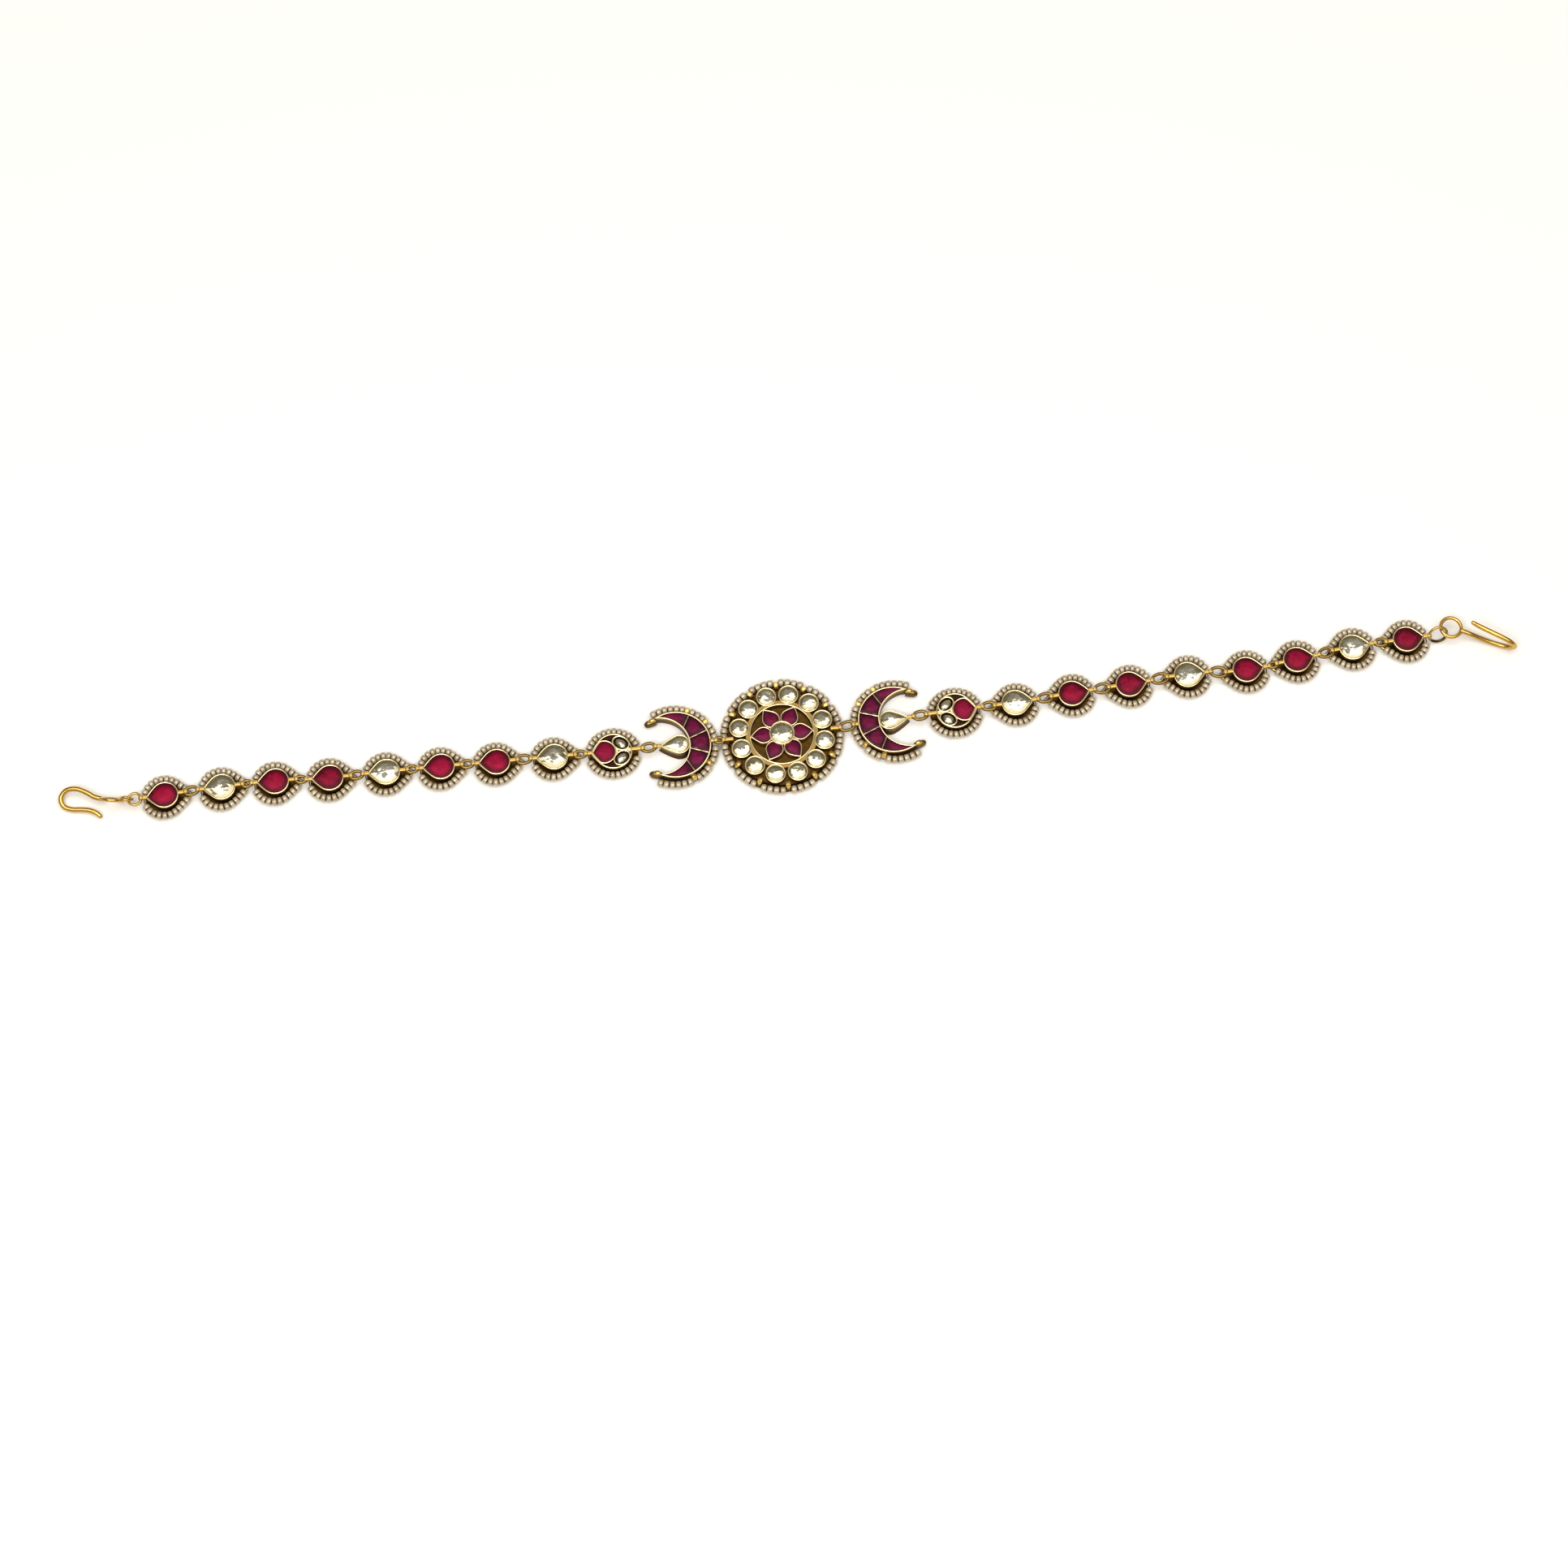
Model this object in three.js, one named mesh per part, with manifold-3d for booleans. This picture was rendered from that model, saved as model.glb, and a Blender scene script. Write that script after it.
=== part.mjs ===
// A matha patti: a jewelled chain worn along the parting or across the forehead and hooked into the hair.
// A round medallion sits in the middle. On each side follow a crescent that holds a tear-shaped stone,
// a link of three stones, eight pear-shaped links and a fish hook. Every setting is edged with seed pearls.
// The chain lies flat with its backs on z = 0. Units are millimetres and +Z is up. The origin is the
// middle of the medallion's back, and +X runs along the chain towards its right-hand end.
import * as THREE from "three";
import { mergeVertices } from "three/addons/utils/BufferGeometryUtils.js";
import Module from "manifold-3d";

const wasm = await Module();
wasm.setup();

// Heights above the surface that the chain lies on.
const PLATE = 0.3; // thickness of every back plate
const BEZEL_TOP = 3.0;
const POCKET_FLOOR = 0.9;
const STONE_TOP = 2.85;
const THREAD_HEIGHT = 1.25; // centre line of the seed pearls
const RING_HEIGHT = 2.78; // centre line of the jump rings

const BEZEL_WALL = 0.4;
const CELL_DEPTH = 1; // pockets of the paved settings
const SMALL_CELL_FLOOR = BEZEL_TOP - CELL_DEPTH;
const STONE_GAP = 0.1; // between a stone and its bezel
const STONE_CROWN = { height: 0.3, inset: 0.5 }; // the bevel round a stone's flat top
const PEARL_RADIUS = 0.9;
const STRINGING_WIRE = 0.15; // radius of the wire that carries the pearls
const BARE_ANGLE = 22; // either side of a link's axis, where the wire passes under the lugs
const DROP_BARE = { round: 20, point: 12 }; // the same at the two ends of a teardrop thread

// Soldered eyes and the jump rings between them.
const LUG = { width: 0.9, low: 2.25, high: 3.4, post: 0.5, hole: 0.78 };
const RING_WIRE = 0.25; // radius
const RING_PLAY = 0.14; // clearance at the loose end of a ring
const RING_OVERLAP = 0.9; // how far two linked jump rings reach into each other, centre line to centre line
const SOLDER = 0.1; // how far soldered metal runs into its neighbour

// Each kind of link, measured along its own axis: +X points away from the medallion.
const MEDALLION = {
  plate: 13.9,
  thread: 13.95,
  cells: 12,
  petalTop: 3.35,
  centreTop: 3.7,
  cellRadius: 2.375,
  cellOrbit: 10.3,
  collar: 7.45,
  collarWall: 0.55,
  floor: 1.4,
  petals: 6,
  petalWall: 0.3,
  petalRadius: 2.15,
  petalReach: 3.15,
  centreRadius: 3.05,
  lug: 14.6,
};
const CRESCENT = {
  outer: 8.5,
  inner: 7.2,
  shift: 3.9,
  dividers: 4,
  dividerFan: 41, // degrees between dividers
  dividerWidth: 0.3,
  plateRim: 0.35,
  tearRadius: 2.45,
  tearReach: 4.65,
  tearCentre: -1,
  threadMiddle: 9.55,
  threadEnds: 10,
  pearlSweep: 121, // from the back of the crescent towards each horn
  hornStart: [4.7, 6.85],
  hornEnd: [6.1, 6.5],
  hornRadius: 0.75,
  hornTop: 2.5,
  innerLug: 10.3,
  outerLug: 5.5,
};
const TRIO = {
  radius: 4.5,
  reach: 5.44,
  centre: -0.08,
  ovalX: 1.8,
  ovalY: 1.5,
  ovalAt: [-1.98, 1.88],
  ovalTurn: 38,
  pointRadius: 2.75, // of the pointed stone's round side
  pointAt: 2.25,
  threadX: 5.95,
  threadY: 5.6,
  innerLug: 7.7,
  outerLug: 7.2,
};
const PEAR = {
  radius: 3.3,
  reach: 4.4,
  centre: -0.55,
  threadCentre: -0.2,
  threadRadius: 4.7,
  threadReach: 7, // to the thread's point, on the side towards the medallion
  innerLug: 6.2,
  outerLug: 5.7,
};
const PLATE_INSET = 0.2; // a back plate ends this far inside its pearls' thread
const HOOK = { eye: 2.5, eyeWire: 0.45, wire: 0.63, fullLength: 10 };

// The chain as it lies: how far each link's centre is from the one before, and the heading of that step in
// degrees, turned from the chain's axis towards +Y.
const LEFT = [
  { kind: "crescent", step: 25.5, heading: 0.4 },
  { kind: "trio", step: 14.95, heading: 0 },
  { kind: "pear", step: 14.6, heading: 0.9 },
  { kind: "pear", step: 13.75, heading: 1.2 },
  { kind: "pear", step: 13.25, heading: 1.3 },
  { kind: "pear", step: 13.0, heading: 0.6 },
  { kind: "pear", step: 13.45, heading: 0.2 },
  { kind: "pear", step: 12.95, heading: 2.6 },
  { kind: "pear", step: 12.75, heading: 0 },
  { kind: "pear", step: 13.55, heading: -2.3 },
];
const RIGHT = [
  { kind: "crescent", step: 26.9, heading: 1.5 },
  { kind: "trio", step: 15.0, heading: 2.2 },
  { kind: "pear", step: 15.05, heading: 1.6 },
  { kind: "pear", step: 13.85, heading: 3.4 },
  { kind: "pear", step: 14.05, heading: 3.3 },
  { kind: "pear", step: 14.3, heading: 3.4 },
  { kind: "pear", step: 14.2, heading: -1.2 },
  { kind: "pear", step: 12.55, heading: 5.6 },
  { kind: "pear", step: 14.0, heading: 6.9 },
  { kind: "pear", step: 13.25, heading: 2.4 },
];

const GOLD = new THREE.MeshStandardMaterial({ color: 0xc9982f, roughness: 0.3, metalness: 1 });
const PEARL = new THREE.MeshStandardMaterial({ color: 0xcdbfa6, roughness: 0.35, metalness: 0 });
const RUBY = new THREE.MeshStandardMaterial({ color: 0x9c0f3c, roughness: 0.15, metalness: 0 });
const CLEAR = new THREE.MeshStandardMaterial({ color: 0xc9cbc0, roughness: 0.1, metalness: 0.3 });

const rad = THREE.MathUtils.degToRad;

// ---- Solids ----------------------------------------------------------------------------------------

function solid(geometry) {
  const bare = geometry.clone();
  bare.deleteAttribute("normal");
  bare.deleteAttribute("uv");
  const merged = mergeVertices(bare, 1e-4);
  const triVerts = new Uint32Array(merged.index.array);
  const vertProperties = merged.attributes.position.array;
  return new wasm.Manifold(new wasm.Mesh({ numProp: 3, vertProperties, triVerts }));
}

function geometryOf(body) {
  const { vertProperties, triVerts } = body.getMesh();
  const geometry = new THREE.BufferGeometry();
  geometry.setAttribute("position", new THREE.BufferAttribute(new Float32Array(vertProperties), 3));
  geometry.setIndex(new THREE.BufferAttribute(new Uint32Array(triVerts), 1));
  geometry.computeVertexNormals();
  return geometry;
}

function join(bodies) {
  return bodies.reduce((whole, body) => whole.add(body));
}

// An outline carried straight up from one height to another.
function slab(outline, low, high) {
  const up = { depth: high - low, bevelEnabled: false };
  return solid(new THREE.ExtrudeGeometry(new THREE.Shape(outline), up).translate(0, 0, low));
}

function moved(body, x, y, turn = 0) {
  return body.rotate([0, 0, turn]).translate([x, y, 0]);
}

// A round wire along a curve, with flat ends.
function wire(curve, radius, steps, sides) {
  const section = new THREE.Shape(ellipse(radius, radius, sides));
  return solid(new THREE.ExtrudeGeometry(section, { extrudePath: curve, steps, bevelEnabled: false }));
}

function ring(radius, wireRadius, steps, sides) {
  return solid(new THREE.TorusGeometry(radius, wireRadius, sides, steps));
}

// ---- Outlines --------------------------------------------------------------------------------------

function arc(radiusX, radiusY, from, to, steps) {
  const points = [];
  for (let i = 0; i <= steps; i++) {
    const angle = rad(from + ((to - from) * i) / steps);
    points.push(new THREE.Vector2(radiusX * Math.cos(angle), radiusY * Math.sin(angle)));
  }
  return points;
}

function ellipse(radiusX, radiusY, steps) {
  return arc(radiusX, radiusY, 0, 360, steps).slice(0, -1);
}

// A round end of the given radius about the origin, run out by two shallow arcs to a point on +X.
// The shallow arcs leave the round end a little before straight sides would, so they swell slightly.
function teardrop(radius, reach, roundSteps = 7, sideSteps = 2) {
  const swell = 8;
  const leave = THREE.MathUtils.radToDeg(Math.acos(radius / reach)) + swell;
  const back = (reach ** 2 - radius ** 2) / (2 * (radius - reach * Math.cos(rad(leave))));
  const centre = new THREE.Vector2(-back * Math.cos(rad(leave)), -back * Math.sin(rad(leave)));
  const tipAngle = THREE.MathUtils.radToDeg(Math.atan2(-centre.y, reach - centre.x));
  const shallow = arc(back + radius, back + radius, tipAngle, leave, sideSteps);
  const side = shallow.map((point) => point.add(centre));
  const round = arc(radius, radius, leave, 360 - leave, roundSteps).slice(1, -1);
  const mirrored = side.slice(1).reverse();
  return [...side, ...round, ...mirrored.map((point) => new THREE.Vector2(point.x, -point.y))];
}

// The shape between a circle about the origin and a smaller one moved along +X, with its horns on +X.
function crescent(outer, inner, shift, steps) {
  const hornX = (outer ** 2 - inner ** 2 + shift ** 2) / (2 * shift);
  const hornY = Math.sqrt(outer ** 2 - hornX ** 2);
  const outerHorn = THREE.MathUtils.radToDeg(Math.atan2(hornY, hornX));
  const innerHorn = THREE.MathUtils.radToDeg(Math.atan2(hornY, hornX - shift));
  const back = arc(outer, outer, outerHorn, 360 - outerHorn, steps);
  const hollow = arc(inner, inner, 360 - innerHorn, innerHorn, steps - 2).slice(1, -1);
  return [...back, ...hollow.map((point) => new THREE.Vector2(point.x + shift, point.y))];
}

// A straight bar with half-round ends.
function roundedBar(start, end, radius) {
  const from = new THREE.Vector2(...start);
  const to = new THREE.Vector2(...end);
  const heading = THREE.MathUtils.radToDeg(to.clone().sub(from).angle());
  const far = arc(radius, radius, heading - 90, heading + 90, 4).map((point) => point.add(to));
  const near = arc(radius, radius, heading + 90, heading + 270, 4).map((point) => point.add(from));
  return [...far, ...near];
}

// ---- Soldered eyes, jump rings and seed pearls -----------------------------------------------------

// A bar that stands out along +X from a bezel to `end`, pierced sideways for a jump ring.
function lug(start, end) {
  const holeEnd = end - LUG.post;
  const holeStart = holeEnd - LUG.hole;
  const holeLow = RING_HEIGHT - LUG.hole / 2;
  const holeHigh = RING_HEIGHT + LUG.hole / 2;
  const side = new THREE.Shape([
    new THREE.Vector2(start, LUG.low),
    new THREE.Vector2(end, LUG.low),
    new THREE.Vector2(end, LUG.high),
    new THREE.Vector2(start, LUG.high),
  ]);
  side.holes.push(
    new THREE.Path([
      new THREE.Vector2(holeStart, holeLow),
      new THREE.Vector2(holeStart, holeHigh),
      new THREE.Vector2(holeEnd, holeHigh),
      new THREE.Vector2(holeEnd, holeLow),
    ]),
  );
  const geometry = new THREE.ExtrudeGeometry(side, { depth: LUG.width, bevelEnabled: false });
  return solid(geometry.rotateX(rad(90)).translate(0, LUG.width / 2, 0));
}

// A flat jump ring between two lugs' posts. The first post's inner face is where the ring is soldered,
// and the second post has a little play in it. Both are points in the link's own frame.
function jumpRing(soldered, loose) {
  const along = new THREE.Vector2().subVectors(loose, soldered).normalize();
  const near = soldered.clone().addScaledVector(along, SOLDER - RING_WIRE);
  const far = loose.clone().addScaledVector(along, RING_PLAY + RING_WIRE);
  const middle = near.clone().add(far).multiplyScalar(0.5);
  return ring(near.distanceTo(far) / 2, RING_WIRE, 10, 4).translate([middle.x, middle.y, RING_HEIGHT]);
}

// The line that a row of pearls follows, an arc in the plane of the thread.
class Thread extends THREE.Curve {
  constructor(radiusAt, from, to) {
    super();
    Object.assign(this, { radiusAt, from, to });
  }
  getPoint(t, target = new THREE.Vector3()) {
    const angle = this.from + (this.to - this.from) * t;
    const [x, y] = this.radiusAt(angle);
    return target.set(x * Math.cos(rad(angle)), y * Math.sin(rad(angle)), THREAD_HEIGHT);
  }
}

// Two rows of pearls, one on each side of a link, joined at both ends by their bare wire.
function ovalPearls({ threadX, threadY }) {
  const rows = [BARE_ANGLE, 180 + BARE_ANGLE].map((from) => {
    const row = new Thread(() => [threadX, threadY], from, from + 180 - 2 * BARE_ANGLE);
    return wire(row, PEARL_RADIUS, 7, 6);
  });
  const thread = ring(threadX, STRINGING_WIRE, 20, 4).scale([1, threadY / threadX, 1]);
  return join([...rows, thread.translate([0, 0, THREAD_HEIGHT])]);
}

// The radius of a thread that is round about the origin and runs in to a point on -X, at a polar angle.
function dropRadius(radius, reach) {
  const leave = THREE.MathUtils.radToDeg(Math.acos(radius / reach));
  return (angle) => {
    const turnFromPoint = Math.abs((angle % 360) - 180);
    const distance = radius / Math.cos(rad(Math.max(leave - turnFromPoint, 0)));
    return [distance, distance];
  };
}

// Two rows of pearls round a pear link. They close in towards the medallion, where they meet the next link.
function dropPearls({ threadCentre, threadRadius, threadReach }) {
  const radiusAt = dropRadius(threadRadius, threadReach);
  const { round, point } = DROP_BARE;
  const rows = [
    new Thread(radiusAt, round, 180 - point),
    new Thread(radiusAt, 180 + point, 360 - round),
  ].map((row) => wire(row, PEARL_RADIUS, 9, 6));
  const thread = wire(new Thread(radiusAt, 60, 420), STRINGING_WIRE, 24, 4);
  return join([...rows, thread]).translate([threadCentre, 0, 0]);
}

// ---- Settings --------------------------------------------------------------------------------------

// A teardrop pocket leaves its wall even all round, so it is cut back a little more at the point.
function teardropPocket(radius, reach, wall, roundSteps, sideSteps) {
  return teardrop(radius - wall, reach - 1.35 * wall, roundSteps, sideSteps);
}

function ovalPlate({ threadX, threadY }, steps) {
  return slab(ellipse(threadX - PLATE_INSET, threadY - PLATE_INSET, steps), 0, PLATE);
}

// The soldered eyes of a teardrop setting, one past its point and one past its round end.
function teardropLugs({ radius, reach, centre, innerLug, outerLug }) {
  const outer = lug(reach + centre - BEZEL_WALL, outerLug);
  const inner = lug(radius - centre - BEZEL_WALL / 2, innerLug).rotate([0, 0, 180]);
  return outer.add(inner);
}

// A bezel whose pocket is cut down to `floor`.
function bezel(outline, pocket, floor = POCKET_FLOOR, top = BEZEL_TOP) {
  return slab(outline, 0, top).subtract(slab(pocket, floor, top + 1));
}

function roundBezel(radius, sides, floor, top = BEZEL_TOP) {
  const pocket = radius - BEZEL_WALL;
  return bezel(ellipse(radius, radius, sides), ellipse(pocket, pocket, sides), floor, top);
}

function pearSetting() {
  const { radius, reach, centre, threadCentre, threadRadius, threadReach } = PEAR;
  const plate = teardrop(threadRadius - PLATE_INSET, threadReach - 2 * PLATE_INSET);
  const cup = bezel(teardrop(radius, reach), teardropPocket(radius, reach, BEZEL_WALL));
  return join([
    moved(slab(plate, 0, PLATE), threadCentre, 0, 180),
    moved(cup, centre, 0),
    teardropLugs(PEAR),
  ]);
}

// A pear-cut stone with a flat back and a bevel round its flat top.
function pearStone() {
  const { radius, reach, centre } = PEAR;
  const back = POCKET_FLOOR + STONE_GAP;
  const girdle = teardropPocket(radius, reach, BEZEL_WALL + STONE_GAP);
  const geometry = new THREE.ExtrudeGeometry(new THREE.Shape(girdle), {
    depth: STONE_TOP - STONE_CROWN.height - back,
    bevelThickness: STONE_CROWN.height,
    bevelSize: STONE_CROWN.inset,
    bevelOffset: -STONE_CROWN.inset,
    bevelSegments: 1,
  });
  return solid(geometry).translate([centre, 0, back]).trimByPlane([0, 0, 1], back);
}

// Two ovals lie in the round side. The pointed stone fills the tip: a disc cut off by the cup's two sides.
function trioSetting() {
  const { radius, reach, centre, ovalX, ovalY, ovalTurn, pointRadius, pointAt } = TRIO;
  const [x, y] = TRIO.ovalAt;
  const oval = slab(ellipse(ovalX, ovalY, 10), SMALL_CELL_FLOOR, BEZEL_TOP + 1);
  const disc = slab(ellipse(pointRadius, pointRadius, 14), SMALL_CELL_FLOOR, BEZEL_TOP + 1);
  const inside = slab(teardropPocket(radius, reach, 1.4 * BEZEL_WALL), 0, BEZEL_TOP + 1);
  const point = moved(disc, pointAt, 0).intersect(moved(inside, centre, 0));
  const pockets = [moved(oval, x, y, ovalTurn), moved(oval, x, -y, -ovalTurn), point];
  const body = moved(slab(teardrop(radius, reach, 10, 2), 0, BEZEL_TOP), centre, 0);
  return join([ovalPlate(TRIO, 16), body.subtract(join(pockets)), teardropLugs(TRIO)]);
}

// The channel for five stones, with thin dividers that fan out from the middle of the outer circle.
function crescentCells() {
  const { outer, inner, shift, dividers, dividerFan, dividerWidth } = CRESCENT;
  const body = slab(crescent(outer, inner, shift, 13), 0, BEZEL_TOP);
  const outline = crescent(outer - BEZEL_WALL, inner + BEZEL_WALL, shift, 11);
  const channel = slab(outline, SMALL_CELL_FLOOR, BEZEL_TOP + 1);
  const walls = [];
  for (let i = 0; i < dividers; i++) {
    const divider = new THREE.BoxGeometry(outer, dividerWidth, CELL_DEPTH + SOLDER);
    divider.translate(outer / 2, 0, BEZEL_TOP - SOLDER - CELL_DEPTH / 2);
    walls.push(moved(solid(divider), 0, 0, 180 + (i - (dividers - 1) / 2) * dividerFan));
  }
  return body.subtract(channel).add(join(walls).intersect(body));
}

// The crescent's cells on their back plate, its horn ends, and the tear-shaped bezel in its opening.
function crescentSetting() {
  const { outer, inner, shift, plateRim, tearRadius, tearReach, tearCentre, innerLug, outerLug } = CRESCENT;
  const { hornStart, hornEnd, hornRadius, hornTop } = CRESCENT;
  const horn = slab(roundedBar(hornStart, hornEnd, hornRadius), 0, hornTop);
  const tearPocket = teardropPocket(tearRadius, tearReach, BEZEL_WALL, 7, 1);
  const tear = bezel(teardrop(tearRadius, tearReach), tearPocket, SMALL_CELL_FLOOR);
  const tearPlate = slab(teardrop(tearRadius + plateRim, tearReach + plateRim), 0, PLATE);
  return join([
    slab(crescent(outer + plateRim, inner, shift, 13), 0, PLATE),
    crescentCells(),
    horn,
    horn.mirror([0, 1, 0]),
    moved(tear.add(tearPlate), tearCentre, 0),
    lug(tearReach + tearCentre - BEZEL_WALL, outerLug),
    lug(outer - BEZEL_WALL / 2, innerLug).rotate([0, 0, 180]),
  ]);
}

// One row from horn to horn, a little further out at the horns than at the back.
function crescentPearls({ threadMiddle, threadEnds, pearlSweep: sweep }) {
  const radiusAt = (angle) => {
    const radius = threadMiddle + (threadEnds - threadMiddle) * ((angle - 180) / sweep) ** 2;
    return [radius, radius];
  };
  return wire(new Thread(radiusAt, 180 - sweep, 180 + sweep), PEARL_RADIUS, 18, 6);
}

// Twelve round cells stand round a collar, and six petals round a centre cell lie inside it.
function medallionSetting() {
  const { plate, cells, cellRadius, cellOrbit, collar, collarWall, floor } = MEDALLION;
  const { petals, petalWall, petalRadius, petalReach, petalTop, centreTop, centreRadius } = MEDALLION;
  const rim = ellipse(collar, collar, 24);
  const centrePocket = ellipse(centreRadius - BEZEL_WALL, centreRadius - BEZEL_WALL, 12);
  const cell = roundBezel(cellRadius, 10, SMALL_CELL_FLOOR);
  const petalPocket = teardropPocket(petalRadius, petalReach, petalWall, 5, 1);
  const petal = bezel(teardrop(petalRadius, petalReach, 5, 1), petalPocket, SMALL_CELL_FLOOR, petalTop);
  const parts = [
    slab(ellipse(plate, plate, 36), 0, PLATE),
    bezel(ellipse(collar + collarWall, collar + collarWall, 24), rim, floor),
    slab(ellipse(centreRadius, centreRadius, 12), 0, centreTop),
  ];
  for (let i = 0; i < cells; i++) {
    parts.push(moved(moved(cell, cellOrbit, 0), 0, 0, (360 / cells) * (i + 0.5)));
  }
  for (let i = 0; i < petals; i++) {
    parts.push(moved(moved(petal, collar - petalReach + SOLDER, 0), 0, 0, (360 / petals) * i));
  }
  const footLength = 2 * (cellOrbit + cellRadius - SOLDER);
  const bar = new THREE.BoxGeometry(footLength, LUG.width, LUG.low).translate(0, 0, SOLDER + LUG.low / 2);
  const foot = solid(bar).subtract(slab(rim, 0, BEZEL_TOP));
  const eye = lug(cellOrbit + cellRadius / 2, MEDALLION.lug);
  const whole = join([...parts, foot, eye, eye.rotate([0, 0, 180])]);
  return whole.subtract(slab(centrePocket, SMALL_CELL_FLOOR, centreTop + 1));
}

function medallionPearls() {
  return ring(MEDALLION.thread, PEARL_RADIUS, 36, 6).translate([0, 0, THREAD_HEIGHT]);
}

// ---- Hooks -----------------------------------------------------------------------------------------

// A fish hook with a round eye. The eye lies about the origin in the XY plane. The hook leaves it along
// +X in a plane turned about X by `twist`, bulges away from its free limb, bends round and comes back.
// The route is for the full length and stretches with it. A short hook ends before its flared tip. With a
// `lean` the free limb also parts sideways from that plane, by `aside` times as much.
function fishHook(length, twist, flared, lean) {
  const { eye, eyeWire, wire: wireRadius, fullLength } = HOOK;
  const stretch = length / fullLength;
  const start = eye + eyeWire;
  const route = [
    { along: -0.5, across: 0 },
    { along: 1.4, across: -0.3 },
    { along: 3.2, across: -1.1 },
    { along: 5.8, across: -1.75 },
    { along: 8.2, across: -1.2 },
    { along: 9.4, across: 0.7 },
    { along: 8.6, across: 2.6, aside: 0.15 },
    { along: 6.6, across: 3.2, aside: 0.45 },
    { along: 4.4, across: 3.05, aside: 0.8 },
    { along: 2.4, across: 3.0, aside: 1.1 },
    { along: 0.7, across: 3.4, aside: 1.35 },
    { along: -0.9, across: 4.4, aside: 1.6 },
  ];
  const side = new THREE.Vector3(0, 1, 0).applyAxisAngle(new THREE.Vector3(1, 0, 0), rad(twist));
  const square = new THREE.Vector3(0, 0, -1).applyAxisAngle(new THREE.Vector3(1, 0, 0), rad(twist));
  const points = route.slice(0, flared ? route.length : -1).map(({ along, across, aside = 0 }) => {
    const point = side.clone().multiplyScalar(across).addScaledVector(square, aside * lean);
    return point.setX(start + along * (along > 0 ? stretch : 1));
  });
  const limb = wire(new THREE.CatmullRomCurve3(points), wireRadius, 24, 6);
  return join([ring(eye, eyeWire, 14, 6), limb]);
}

// ---- The chain -------------------------------------------------------------------------------------

const KINDS = {
  pear: { size: PEAR, setting: pearSetting, pearls: dropPearls, stone: pearStone },
  trio: { size: TRIO, setting: trioSetting, pearls: ovalPearls },
  crescent: { size: CRESCENT, setting: crescentSetting, pearls: crescentPearls },
};
// The pear stones from the trio link outwards, the same on both sides.
const PEAR_STONES = [CLEAR, RUBY, RUBY, CLEAR, RUBY, RUBY, CLEAR, RUBY];

const chain = new THREE.Group();

function named(name, body, material, parent) {
  const mesh = new THREE.Mesh(geometryOf(body), material);
  mesh.name = name;
  parent.add(mesh);
  return mesh;
}

// The links of one side as groups at their places, each turned halfway between the steps that meet in it.
function layOut(rows, side) {
  const place = new THREE.Vector2();
  const outward = (heading) => (side === "left" ? 180 - heading : heading);
  return rows.map(({ kind, step, heading }, i) => {
    const next = rows[i + 1] ?? rows[i];
    place.add(new THREE.Vector2(step, 0).rotateAround(new THREE.Vector2(), rad(outward(heading))));
    const group = new THREE.Group();
    group.position.set(place.x, place.y, 0);
    group.rotation.z = rad(outward((heading + next.heading) / 2));
    group.updateMatrixWorld();
    chain.add(group);
    return { kind, group, size: KINDS[kind].size };
  });
}

// The inner face of a link's post on the side towards the medallion, in another group's frame.
function postInside({ group, size }, frame) {
  const point = new THREE.Vector3(LUG.post - size.innerLug, 0, 0);
  point.applyMatrix4(group.matrixWorld).applyMatrix4(frame.matrixWorld.clone().invert());
  return new THREE.Vector2(point.x, point.y);
}

// Adds the hook to the last link and returns the jump ring that it hangs in, which that link carries.
function hookInto(last, name, place) {
  const { ringRadius, ringRoll, secondRingRoll, eyeAt, heading, pitch, roll, twist, length } = place;
  const { flared, swing, lean } = place;
  const nearWire = last.size.outerLug - LUG.post + SOLDER - RING_WIRE;
  const first = ring(ringRadius, RING_WIRE, 10, 4).rotate([ringRoll, 0, 0]);
  const turn = new THREE.Euler(rad(roll), rad(pitch), rad(heading), "ZYX");
  const matrix = new THREE.Matrix4().makeRotationFromEuler(turn).setPosition(...eyeAt);
  const parts = [solid(geometryOf(fishHook(length, twist, flared, lean)).applyMatrix4(matrix))];
  if (secondRingRoll) {
    const second = ring(ringRadius, RING_WIRE, 10, 4).rotate([secondRingRoll, 0, 0]);
    parts.push(second.translate([nearWire + 3 * ringRadius - RING_OVERLAP, 0, RING_HEIGHT]));
  }
  const ringMiddle = nearWire + ringRadius;
  const swung = join(parts).translate([-ringMiddle, 0, 0]).rotate([0, 0, swing]);
  named(name, swung.translate([ringMiddle, 0, 0]), GOLD, last.group);
  return first.translate([ringMiddle, 0, RING_HEIGHT]);
}

// One side of the chain, from its crescent out to its hook. Each link carries the ring on its outer side.
function side(name, rows, hook) {
  const links = layOut(rows, name);
  const hookRing = hookInto(links.at(-1), `hook_${name}`, hook);
  let pears = 0;
  links.forEach(({ kind, group, size }, i) => {
    const { setting, pearls, stone } = KINDS[kind];
    const next = links[i + 1];
    const solderedAt = new THREE.Vector2(size.outerLug - LUG.post, 0);
    const outerRing = next ? jumpRing(solderedAt, postInside(next, group)) : hookRing;
    const suffix = kind === "pear" ? `${name}_${++pears}` : name;
    named(`${kind}_setting_${suffix}`, setting().add(outerRing), GOLD, group);
    named(`${kind}_pearls_${suffix}`, pearls(size), PEARL, group);
    if (stone) named(`pear_stone_${suffix}`, stone(), PEAR_STONES[pears - 1], group);
  });
  return links[0];
}

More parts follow.
